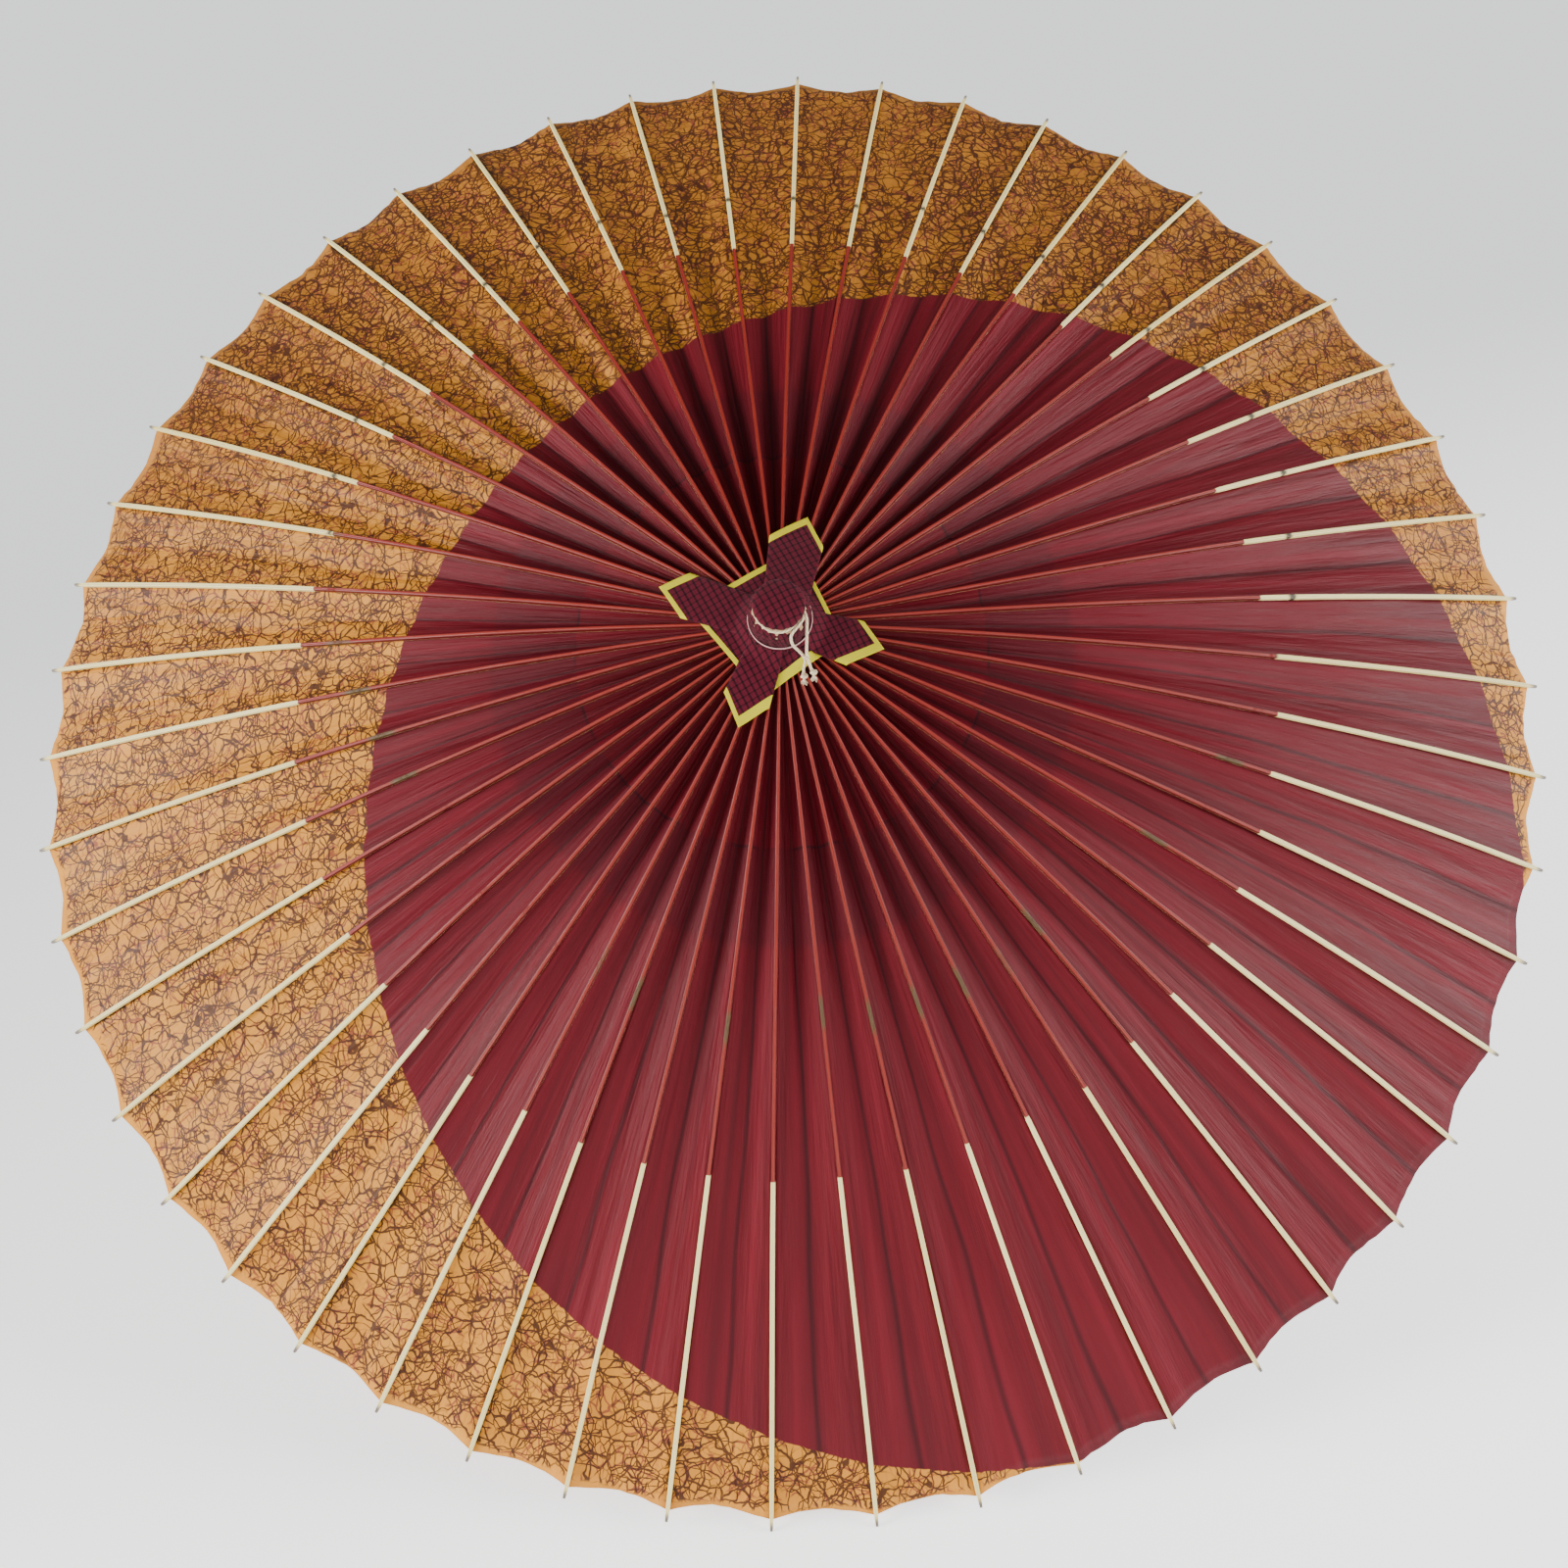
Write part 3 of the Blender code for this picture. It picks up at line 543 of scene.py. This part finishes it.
for index, azimuth in enumerate(hinged):
    rib_number = round(azimuth / rib_step - 0.5)
    before, after = gores_held(index)
    columns = (before + after) * gore_columns
    bm = bmesh.new()
    bmesh.ops.create_grid(bm, x_segments=columns, y_segments=paper_rows, size=0.5)
    flat_map = bm.loops.layers.uv.new("flat")
    gore_map = bm.loops.layers.uv.new("gore")
    laid_out = {}
    for vertex in bm.verts:
        place = rib_number - before + (before + after) * (vertex.co.x + 0.5)
        share = paper_start + (paper_end - paper_start) * (vertex.co.y + 0.5)
        part = place - math.floor(place + 1e-6)
        scallop = 0.007 * (1.0 - (2.0 * part - 1.0) ** 2)
        scallop += 0.003 * noise.noise(Vector((place * 2.0, 9.0, 0.0)))
        if abs(part - round(part)) < 1e-4:
            scallop = 0.0
        share -= scallop * (vertex.co.y + 0.5) ** 12
        laid_out[vertex] = (share, place)
        vertex.co = paper_place(share, place)
    for face in bm.faces:
        for loop in face.loops:
            loop[flat_map].uv = loop.vert.co.xy
            loop[gore_map].uv = laid_out[loop.vert]
    bm.normal_update()
    if max(bm.faces, key=lambda face: face.calc_area()).normal.z < 0.0:
        bmesh.ops.reverse_faces(bm, faces=bm.faces)
    area = sum(face.calc_area() for face in bm.faces)
    name = f"paper_panel_{index + 1:02d}"
    panel = add_piece(name, bm, [paper], f"rib_{index + 1:02d}", smooth=180)
    solid = panel.modifiers.new("thickness", "SOLIDIFY")
    solid.thickness = paper_thickness
    solid.offset = 0.0
    draw_in(panel)
    if index == 0:
        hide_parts("canopy_paper")

# Fifty struts of pale bamboo spread the ribs from the runner. Each has a forked end on a peg under
# its rib and a thin tongue in the runner; a thread runs through all the pegs and ties the ring.


def own_axes(tree):
    """Object coordinates turned back into the umbrella's own axes."""
    place = node(tree, "ShaderNodeTexCoord").outputs["Object"]
    inputs = {"Vector": place, "Location": hub_middle, "Rotation": (lean, 0.0, 0.0)}
    return node(tree, "ShaderNodeMapping", inputs, vector_type="TEXTURE").outputs[0]


strut_bamboo, tree, shader = finish("strut_bamboo", 0.46, 0.4)
place = own_axes(tree)
fibres = grain(tree, stretched(tree, place, (60.0, 60.0, 260.0)), 1.0, 4.0, 0.6)
blotches = grain(tree, place, 18.0, 2.0)
pale = blend_colours(tree, fibres, (0.55, 0.39, 0.18, 1.0), (0.80, 0.64, 0.37, 1.0))
tree.links.new(
    blend_colours(tree, times(tree, blotches, 0.4), pale, (0.62, 0.42, 0.17, 1.0)),
    shader.inputs["Base Color"],
)
bumped(tree, shader, fibres, 0.00015, 0.7)
for index, azimuth in enumerate(hinged):
    body = f"strut_{index + 1:02d}"
    strut = frame["nodes"][body]
    strut.data.materials.clear()
    strut.data.materials.append(strut_bamboo)
    rib_number = round(azimuth / rib_step - 0.5)
    beside, holder, is_hinged = carried[(rib_number + 1) % rib_count]
    if is_hinged:
        continue
    holder_azimuth = hinged[holder - 1]
    bm = bmesh.new()
    bm.from_mesh(frame["nodes"][f"strut_{holder:02d}"].data)
    bmesh.ops.remove_doubles(bm, verts=bm.verts, dist=1e-6)
    turn = Matrix.Rotation(math.radians(beside - holder_azimuth), 4, "Z")
    bm.transform(turn @ stand.inverted())
    name = f"strut_between_{index + 1:02d}"
    between_strut = add_piece(name, bm, [strut_bamboo], f"strut_{holder:02d}")
    draw_in(between_strut)


def tube(points, radius, sides=8, closed=False):
    """A round cord along points, with its length and turn kept in a map of its own."""
    bm = bmesh.new()
    around = bm.verts.layers.float.new("around")
    length = bm.verts.layers.float.new("length")
    heading = (points[1] - points[0]).normalized()
    pose = Matrix.Translation(points[0]) @ heading.to_track_quat("Z", "Y").to_matrix().to_4x4()
    ring = bmesh.ops.create_circle(
        bm, cap_ends=False, radius=radius, segments=sides, matrix=pose
    )["verts"]
    for vertex in ring:
        local = pose.inverted() @ vertex.co
        vertex[around] = (math.atan2(local.y, local.x) / math.tau) % 1.0
    edges = list({edge for vertex in ring for edge in vertex.link_edges})
    path = list(points[1:]) + ([points[0]] if closed else [])
    here, run = points[0], 0.0
    for index, point in enumerate(path):
        onward = path[index + 1] if index + 1 < len(path) else (points[1] if closed else point)
        facing = ((point - here).normalized() + (onward - point).normalized()).normalized()
        swing = heading.rotation_difference(facing).to_matrix().to_4x4()
        move = Matrix.Translation(point) @ swing @ Matrix.Translation(-here)
        grown = bmesh.ops.extrude_edge_only(bm, edges=edges)["geom"]
        fresh = [item for item in grown if isinstance(item, bmesh.types.BMVert)]
        edges = [
            item for item in grown
            if isinstance(item, bmesh.types.BMEdge) and item.is_boundary
            and all(v in fresh for v in item.verts)
        ]
        run += (point - here).length
        bmesh.ops.transform(bm, matrix=move, verts=fresh)
        for vertex in fresh:
            vertex[length] = run
        here, heading = point, facing
    if closed:
        bmesh.ops.remove_doubles(bm, verts=bm.verts, dist=radius * 0.3)
    else:
        bmesh.ops.holes_fill(bm, edges=[e for e in bm.edges if e.is_boundary], sides=0)
    laid = bm.loops.layers.uv.new("cord")
    for face in bm.faces:
        turns = [loop.vert[around] for loop in face.loops]
        wraps = max(turns) - min(turns) > 0.5
        for loop, turn in zip(face.loops, turns):
            loop[laid].uv = (turn + (1.0 if wraps and turn < 0.5 else 0.0), loop.vert[length])
    bmesh.ops.recalc_face_normals(bm, faces=bm.faces)
    return bm


def twisted(name, dark, light, strands, pitch, depth):
    """Spun cord: strands that wind round it, with fine fibres along them."""
    material, tree, shader = finish(name, 0.85, 0.2)
    laid = node(tree, "ShaderNodeUVMap", uv_map="cord").outputs[0]
    parts = node(tree, "ShaderNodeSeparateXYZ", {0: laid})
    turns = plus(tree, times(tree, parts.outputs[0], strands),
                  maths(tree, "DIVIDE", parts.outputs[1], pitch))
    # painted shade: the cord darker in the grooves between its strands, flecked at random by its
    # fibres
    hump = absolute(tree, maths(tree, "SINE", times(tree, turns, math.pi)))
    fuzz = grain(tree, own_axes(tree), 2600.0, 3.0)
    shade = plus(tree, times(tree, hump, 0.75), times(tree, fuzz, 0.4))
    tree.links.new(blend_colours(tree, shade, dark, light), shader.inputs["Base Color"])
    shader.inputs["Sheen Weight"].default_value = 0.3
    bumped(tree, shader, shade, depth, 0.9)
    return material


linen = twisted("red_thread", (0.20, 0.02, 0.02, 1.0), (0.50, 0.10, 0.07, 1.0), 2.0, 0.0016, 0.0002)
peg_share, peg_drop = 0.265, 0.0034
peg = rib_line(peg_share) - rib_out(peg_share) * (rib_size(peg_share)[1] / 2 + peg_drop)
thread_sag = 0.034
for index, azimuth in enumerate(hinged):
    rib_number = round(azimuth / rib_step - 0.5)
    before, after = gores_held(index)
    stops = [azimuth + rib_step * gore for gore in range(-before, after + 1)]
    pegs = [spoke(stop) @ peg for stop in stops]
    run = [pegs[0]]
    for start, end in zip(pegs, pegs[1:]):
        for part in (step / 8 for step in range(1, 9)):
            sag = Vector((0.0, 0.0, thread_sag * part * (1.0 - part)))
            run.append(start.lerp(end, part) - sag)
    thread = tube(run, 0.00045, 6)
    name = f"peg_thread_{index + 1:02d}"
    thread = add_piece(name, thread, [linen], f"rib_{index + 1:02d}", smooth=60)
    draw_in(thread)

# The hub and the runner are turned from a pale close wood, sawn with fifty slots for the bamboo
# tongues and bound with thread. The shaft is a smoked bamboo with its rings, let in for a spring
# catch of split bamboo; the hand grip is wound with rattan and the foot is a turned horn cap.
turned_wood, tree, shader = finish("turned_wood", 0.5, 0.4)
place = own_axes(tree)
rings = grain(tree, stretched(tree, place, (420.0, 420.0, 30.0)), 1.0, 4.0, 0.6)
tone = blend_colours(tree, rings, (0.26, 0.14, 0.065, 1.0), (0.50, 0.33, 0.18, 1.0))
tree.links.new(tone, shader.inputs["Base Color"])
bumped(tree, shader, rings, 0.0002, 0.5)

shaft_bamboo, tree, shader = finish("shaft_bamboo", 0.33, 0.5)
place = own_axes(tree)
skin = grain(tree, stretched(tree, place, (240.0, 240.0, 14.0)), 1.0, 5.0, 0.65)
smoke = grain(tree, stretched(tree, place, (30.0, 30.0, 8.0)), 1.0, 3.0)
tone = blend_colours(tree, skin, (0.24, 0.115, 0.045, 1.0), (0.47, 0.27, 0.11, 1.0))
tone = blend_colours(
    tree, between(tree, smoke, 0.45, 0.70, 0.0, 0.7), tone, (0.13, 0.060, 0.025, 1.0)
)
height = node(tree, "ShaderNodeSeparateXYZ", {0: place}).outputs[2]
for ring_height in (-0.425, -0.560, -0.722):
    from_ring = absolute(tree, minus(tree, height, ring_height))
    tone = blend_colours(
        tree, between(tree, from_ring, 0.0022, 0.0004), tone, (0.07, 0.035, 0.018, 1.0)
    )
tree.links.new(tone, shader.inputs["Base Color"])
tree.links.new(between(tree, skin, 0.2, 0.8, 0.26, 0.42), shader.inputs["Roughness"])
shader.inputs["Coat Weight"].default_value = 0.25
bumped(tree, shader, skin, 0.00015, 0.6)

horn, tree, shader = finish("horn", 0.22, 0.55)
place = own_axes(tree)
cloudy = grain(tree, stretched(tree, place, (90.0, 90.0, 160.0)), 1.0, 4.0)
tree.links.new(
    blend_colours(
        tree, between(tree, cloudy, 0.35, 0.75),
        (0.012, 0.010, 0.010, 1.0), (0.085, 0.055, 0.038, 1.0),
    ),
    shader.inputs["Base Color"],
)
bumped(tree, shader, cloudy, 0.0001, 0.4)

for piece_name, material in (
    ("shaft", shaft_bamboo), ("head_hub", turned_wood), ("runner", turned_wood),
    ("catch_spring", strut_bamboo), ("ferrule", horn),
):
    turned = frame["nodes"][piece_name].data
    turned.materials.clear()
    turned.materials.append(material)

cane, tree, shader = finish("rattan", 0.38, 0.5)
laid = node(tree, "ShaderNodeUVMap", uv_map="cord").outputs[0]
sheen = grain(tree, stretched(tree, laid, (8.0, 60.0, 1.0)), 1.0, 4.0)
tree.links.new(
    blend_colours(tree, sheen, (0.33, 0.17, 0.06, 1.0), (0.64, 0.43, 0.20, 1.0)),
    shader.inputs["Base Color"],
)
shader.inputs["Coat Weight"].default_value = 0.3
bumped(tree, shader, sheen, 0.0001, 0.6)


def winding(radius, low, high, turns, steps=20):
    """Points of a cord wound round the shaft from one height to another."""
    points = []
    for step in range(turns * steps + 1):
        angle = math.tau * step / steps
        height = low + (high - low) * step / (turns * steps)
        points.append(Vector((radius * math.cos(angle), radius * math.sin(angle), height)))
    return points


shaft_radius = 0.0095
grip = tube(winding(shaft_radius + 0.0004, -0.700, -0.592, 44), 0.00125, 6)
add_piece("rattan_grip", grip, [cane], "root", smooth=60)
hub_thread = tube(winding(0.0150, -0.0108, -0.0078, 4, 28), 0.00045, 6)
add_piece("hub_thread", hub_thread, [linen], "root", smooth=60)
runner_pivot = 2.0 * peg.z
runner_thread = winding(0.0139, runner_pivot - 0.0190, runner_pivot - 0.0110, 10, 28)
runner_thread = tube(runner_thread, 0.00042, 6)
add_piece("runner_thread", runner_thread, [linen], "runner", smooth=60)

# A square of dark checked cotton bordered in yellow covers the knob. It is drawn in over the knob
# and bound under it, so that its corners lie on the ribs as four flaps with box pleats between.
weave_turn = math.radians(25.5)
check_pitch = 0.0041
cloth, tree, shader = finish("checked_cloth", 0.9, 0.04)
laid = node(tree, "ShaderNodeUVMap", uv_map="weave").outputs[0]
inputs = {"Vector": laid, "Rotation": (0.0, 0.0, -weave_turn)}
turned_weave = node(tree, "ShaderNodeMapping", inputs).outputs[0]
parts = node(tree, "ShaderNodeSeparateXYZ", {0: turned_weave})


def stripe(coordinate, pitch, share):
    """1 on evenly spaced stripes that take a share of the pitch."""
    phase = maths(tree, "FRACT", maths(tree, "DIVIDE", coordinate, pitch))
    from_middle = absolute(tree, minus(tree, phase, 0.5))
    return between(tree, from_middle, 0.5 - share / 2, 0.5 - share / 4)


warp_line = stripe(parts.outputs[0], check_pitch, 0.42)
weft_line = stripe(parts.outputs[1], check_pitch, 0.26)
checks = plus(tree, times(tree, warp_line, 0.70), times(tree, weft_line, 0.55))
yarn_pitch = 0.00055
yarn = times(
    tree,
    maths(tree, "SINE", times(tree, parts.outputs[0], math.tau / yarn_pitch)),
    maths(tree, "SINE", times(tree, parts.outputs[1], math.tau / yarn_pitch)),
)
slub = grain(tree, stretched(tree, turned_weave, (700.0, 2200.0, 1.0)), 1.0, 3.0)
ground = blend_colours(tree, slub, (0.046, 0.004, 0.009, 1.0), (0.125, 0.010, 0.022, 1.0))
tree.links.new(
    blend_colours(tree, maths(tree, "MINIMUM", checks, 0.95), ground, (0.004, 0.003, 0.004, 1.0)),
    shader.inputs["Base Color"],
)
shader.inputs["Sheen Weight"].default_value = 0.04
bumped(tree, shader, plus(tree, yarn, slub), 0.00012, 0.8)

yellow_tape, tree, shader = finish("yellow_border", 0.85, 0.2)
laid = node(tree, "ShaderNodeUVMap", uv_map="weave").outputs[0]
thread_grain = grain(tree, stretched(tree, laid, (1500.0, 1500.0, 1.0)), 1.0, 3.0)
worn_patch = grain(tree, laid, 90.0, 2.0)
tone = blend_colours(tree, thread_grain, (0.38, 0.325, 0.003, 1.0), (0.58, 0.515, 0.006, 1.0))
tree.links.new(
    blend_colours(tree, times(tree, worn_patch, 0.5), tone, (0.30, 0.27, 0.012, 1.0)),
    shader.inputs["Base Color"],
)
bumped(tree, shader, thread_grain, 0.00015, 0.8)

knob_profile = (
    (0.0001, 0.0440), (0.0060, 0.0437), (0.0105, 0.0428), (0.0138, 0.0412), (0.0155, 0.0396),
    (0.0160, 0.0380), (0.0156, 0.0364), (0.0146, 0.0350), (0.0146, 0.0338), (0.0158, 0.0322),
    (0.0176, 0.0290), (0.0188, 0.0245), (0.0191, 0.0200), (0.0188, 0.0160), (0.0183, 0.0130),
    (0.0189, 0.0112), (0.0205, 0.0102),
)
crown_radius, crown_edge = 0.0160, 0.0380
bm = bmesh.new()
corners = [bm.verts.new((radius, 0.0, height)) for radius, height in knob_profile]
outline = [bm.edges.new(pair) for pair in zip(corners, corners[1:])]
bmesh.ops.subdivide_edges(bm, edges=outline, cuts=1)
bmesh.ops.spin(
    bm, geom=bm.verts[:] + bm.edges[:], cent=(0, 0, 0), axis=(0, 0, 1), angle=math.tau, steps=120,
    use_merge=True, use_duplicate=False,
)
bmesh.ops.remove_doubles(bm, verts=[v for v in bm.verts if v.co.xy.length < 0.0002], dist=0.0005)
laid = bm.loops.layers.uv.new("weave")
for face in bm.faces:
    for loop in face.loops:
        place = loop.vert.co
        spread = place.xy.length
        if spread > 1e-5 and place.z < crown_edge:
            spread = crown_radius + (crown_edge - place.z)
        loop[laid].uv = place.xy.normalized() * spread if place.xy.length > 1e-5 else (0.0, 0.0)
for vertex in bm.verts:
    angle = math.atan2(vertex.co.y, vertex.co.x)
    low = min(1.0, max(0.0, (0.0395 - vertex.co.z) / 0.006))
    gather = math.sin(17 * angle + 1.7 * math.sin(3 * angle))
    gather += 0.6 * math.sin(29 * angle + 2.0 * math.sin(5 * angle))
    dent = noise.noise(Vector((math.cos(angle) * 2.2, math.sin(angle) * 2.2, vertex.co.z * 90.0)))
    grow = 1.0 + low * (0.026 * gather + 0.050 * dent)
    vertex.co.x *= grow
    vertex.co.y *= grow
    vertex.co.z += 0.0005 * (1.0 - low) * noise.noise(vertex.co * 160.0)
bmesh.ops.recalc_face_normals(bm, faces=bm.faces)
if max(bm.faces, key=lambda face: face.calc_center_median().z).normal.z < 0.0:
    bmesh.ops.reverse_faces(bm, faces=bm.faces)
knob_area = sum(face.calc_area() for face in bm.faces)
cap = add_piece("cloth_over_knob", bm, [cloth, yellow_tape], "root", smooth=60)
solid = cap.modifiers.new("thickness", "SOLIDIFY")
solid.thickness = 0.0006
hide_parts("head_cap")


def resting_height(radius):
    """Height of the ribs' middles at a radius from the shaft."""
    low, high = 0.0, 1.0
    for _ in range(24):
        middle = (low + high) / 2
        if rib_line(middle).x < radius:
            low = middle
        else:
            high = middle
    return rib_line(low).z


fold_reach, fold_drop = 0.0016, 0.0011


def cloth_flap(name, corners, bordered, lift):
    """Cuts a flap to its corners, edges the given sides in yellow and lays it on the ribs."""
    bm = bmesh.new()
    middle = sum((Vector(corner) for corner in corners), Vector((0.0, 0.0))) / len(corners)
    reach = max((Vector(corner) - middle).length for corner in corners) * 1.05
    bmesh.ops.create_grid(
        bm, x_segments=44, y_segments=44, size=reach, matrix=Matrix.Translation((*middle, 0.0))
    )
    sides = []
    for start, end in zip(corners, corners[1:] + corners[:1]):
        start, end = Vector(start), Vector(end)
        out = Vector(((end - start).y, -(end - start).x)).normalized()
        if out.dot(middle - start) > 0.0:
            out = -out
        sides.append((start, out))
    for start, out in sides:
        bmesh.ops.bisect_plane(
            bm, geom=everything(bm), dist=1e-6, plane_co=(*start, 0), plane_no=(*out, 0),
            clear_outer=True,
        )
    for side in bordered:
        start, out = sides[side]
        line = start - out * bordered[side]
        bmesh.ops.bisect_plane(
            bm, geom=everything(bm), dist=1e-6, plane_co=(*line, 0), plane_no=(*out, 0)
        )
        for face in bm.faces:
            if (face.calc_center_median().xy - line).dot(out) > 0.0:
                face.material_index = 1
    laid = bm.loops.layers.uv.new("weave")
    for face in bm.faces:
        for loop in face.loops:
            loop[laid].uv = loop.vert.co.xy
    folds = [pair for index, pair in enumerate(sides) if index not in bordered]
    for vertex in bm.verts:
        flat_place = vertex.co.xy.copy()
        radius = flat_place.length
        climb = max(0.0, min(1.0, (0.029 - radius) / 0.011))
        height = resting_height(max(radius, pivot_radius)) + lift
        height += 0.0062 * climb * climb * (3.0 - 2.0 * climb)
        rumple = Vector((flat_place.x * 70.0, flat_place.y * 70.0, lift * 900.0))
        height += 0.0009 * noise.noise(rumple)
        if radius > 0.026:
            for start, out in folds:
                inside = (start - flat_place).dot(out)
                if inside < fold_reach:
                    height -= fold_drop * (1.0 - inside / fold_reach) ** 2
        vertex.co.z = height
    bm.normal_update()
    if max(bm.faces, key=lambda face: face.calc_area()).normal.z < 0.0:
        bmesh.ops.reverse_faces(bm, faces=bm.faces)
    area = sum(face.calc_area() for face in bm.faces)
    piece = add_piece(name, bm, [cloth, yellow_tape], None, smooth=60)
    solid = piece.modifiers.new("thickness", "SOLIDIFY")
    solid.thickness = 0.0007
    solid.offset = 0.0
    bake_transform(piece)


# each flap's bordered sides and their widths, how high it lies, and its corners in plan, from the
# knob out along one fold, round the point and back
for name, bordered, lift, corners in (
    ("flap_upper", {1: 0.0047, 2: 0.0027}, 0.0048, [
        (-0.0100, 0.0120), (-0.0038, 0.0641), (0.0206, 0.0765), (0.0293, 0.0542),
        (0.0160, 0.0060),
    ]),
    ("flap_left", {1: 0.0029, 2: 0.0050}, 0.0050, [
        (-0.0150, -0.0090), (-0.0617, 0.0119), (-0.0749, 0.0346), (-0.0548, 0.0419),
        (-0.0080, 0.0160),
    ]),
    ("flap_lower", {1: 0.0058, 2: 0.0027}, 0.0052, [
        (0.0030, -0.0160), (-0.0093, -0.0511), (-0.0283, -0.0613), (-0.0362, -0.0391),
        (-0.0170, -0.0060),
    ]),
    ("flap_right", {1: 0.0029, 2: 0.0054}, 0.0054, [
        (0.0130, 0.0090), (0.0518, 0.0023), (0.0635, -0.0155), (0.0395, -0.0260),
        (0.0070, -0.0140),
    ]),
    # the cloth drawn in between two flaps, lying lower, its border running on under both
    ("pleat_upper_left", {1: 0.0040}, 0.0032, [
        (-0.0150, 0.0060), (-0.0370, 0.0268), (-0.0022, 0.0451), (-0.0010, 0.0150),
    ]),
    ("pleat_lower_left", {1: 0.0029}, 0.0032, [
        (-0.0050, -0.0150), (-0.0235, -0.0298), (-0.0537, 0.0125), (-0.0150, 0.0050),
    ]),
    ("pleat_lower_right", {1: 0.0058}, 0.0032, [
        (0.0150, -0.0050), (0.0310, -0.0162), (-0.0099, -0.0429), (-0.0060, -0.0140),
    ]),
    ("pleat_right", {1: 0.0027}, 0.0032, [
        (0.0050, 0.0150), (0.0180, 0.0408), (0.0354, -0.0032), (0.0150, -0.0040),
    ]),
):
    cloth_flap(name, corners, bordered, lift)

# The cloth is bound at the foot of the knob with two turns of fine pink thread, and tied under its
# crown with a spun cotton cord. The cord's two ends hang down plumb from the knob's right side to
# a knot, below which they are teased out into short tufts.
cord_radius = 0.0009
route = [Vector(point) for point in (
    (0.0132, -0.0375, 0.0085), (0.0131, -0.0324, 0.0118), (0.0144, -0.0275, 0.0155),
    (0.0118, -0.0243, 0.0190), (0.0072, -0.0208, 0.0245), (0.0066, -0.0175, 0.0310),
    (0.0100, -0.0138, 0.0345), (0.0144, -0.0086, 0.0358),
)]
for step in range(15):
    clockwise = math.radians(126.0 + 334.0 * step / 14)
    front = max(0.0, -math.cos(clockwise - math.radians(5.0))) ** 3
    spread, height = 0.0148 + 0.0010 * front, 0.0356 - 0.0022 * front
    route.append(Vector((math.sin(clockwise) * spread, math.cos(clockwise) * spread, height)))
route += [Vector(point) for point in (
    (0.0163, -0.0082, 0.0345), (0.0162, -0.0122, 0.0315), (0.0158, -0.0187, 0.0255),
    (0.0155, -0.0255, 0.0185), (0.0173, -0.0314, 0.0135), (0.0191, -0.0360, 0.0105),
)]


def eased(points, spacing):
    """Even points along a smooth curve through the given ones."""
    eased_points = [points[0]]
    padded = [points[0]] + points + [points[-1]]
    for before, start, end, after in zip(padded, padded[1:], padded[2:], padded[3:]):
        steps = max(1, round((end - start).length / spacing))
        for step in range(1, steps + 1):
            t = step / steps
            eased_points.append(0.5 * (
                2 * start + (end - before) * t + (2 * before - 5 * start + 4 * end - after) * t ** 2
                + (3 * start - before - 3 * end + after) * t ** 3
            ))
    return eased_points


cotton = twisted(
    "cotton_cord", (0.36, 0.25, 0.12, 1.0), (0.74, 0.60, 0.38, 1.0), 3.0, 0.0030, 0.0004
)
pink = twisted("pink_thread", (0.36, 0.15, 0.13, 1.0), (0.68, 0.40, 0.36, 1.0), 2.0, 0.0012, 0.0002)
run = eased(route, 0.0016)
cord = add_piece("tie_cord", tube(run, cord_radius, 10), [cotton], "root", smooth=60)
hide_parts("cap_cord")


def knot_points(middle, size, turn):
    """A closed overhand knot, three lobes round its middle."""
    points = []
    for step in range(40):
        t = math.tau * step / 40
        x, y = math.sin(t) + 2 * math.sin(2 * t), math.cos(t) - 2 * math.cos(2 * t)
        points.append(middle + turn @ (Vector((x, y, -math.sin(3 * t))) * size))
    return points


plumb = (stand.to_3x3().inverted() @ Vector((0.0, 0.0, -1.0))).normalized()
hang = plumb.to_track_quat("Z", "Y").to_matrix()
knot = knot_points(Vector((0.0149, -0.0266, 0.0170)), 0.00050, hang)
add_piece("upper_knot", tube(knot, 0.00080, 8, closed=True), [cotton], "root", smooth=60)
for number, end in enumerate((route[0], route[-1])):
    bm = bmesh.new()
    for strand in range(16):
        angle = math.tau * strand / 16
        sway = Vector((math.cos(angle), math.sin(angle), 0.0))
        length = 0.0016 + 0.0008 * noise.noise(Vector((strand, number, 0.5)))
        curl = hang @ (sway * 0.0011 + Vector((0.0, 0.0, length)))
        start = end + hang @ (sway * 0.0003) - plumb * 0.0012
        hair = tube([start, end + curl * 0.6, end + curl * 1.9], 0.00028, 5)
        part = bpy.data.meshes.new("hair")
        hair.to_mesh(part)
        hair.free()
        bm.from_mesh(part)
        bpy.data.meshes.remove(part)
    add_piece(f"cord_tuft_{number + 1}", bm, [cotton], "root", smooth=60)
    knot = tube(knot_points(end - plumb * 0.0022, 0.00055, hang), 0.00085, 8, closed=True)
    add_piece(f"end_knot_{number + 1}", knot, [cotton], "root", smooth=60)

binding_radius = 0.0196
binding = []
for step in range(97):
    angle = math.tau * step / 48
    slack = 1.0 + 0.02 * math.sin(angle + 0.8) + 0.008 * (step > 48)
    spread = binding_radius * slack
    height = 0.0128 + 0.0006 * math.sin(3 * angle) + (0.0009 if step > 48 else 0.0)
    binding.append(Vector((math.cos(angle) * spread, math.sin(angle) * spread, height)))
add_piece("binding_thread", tube(binding, 0.00034, 6), [pink], "root", smooth=60)
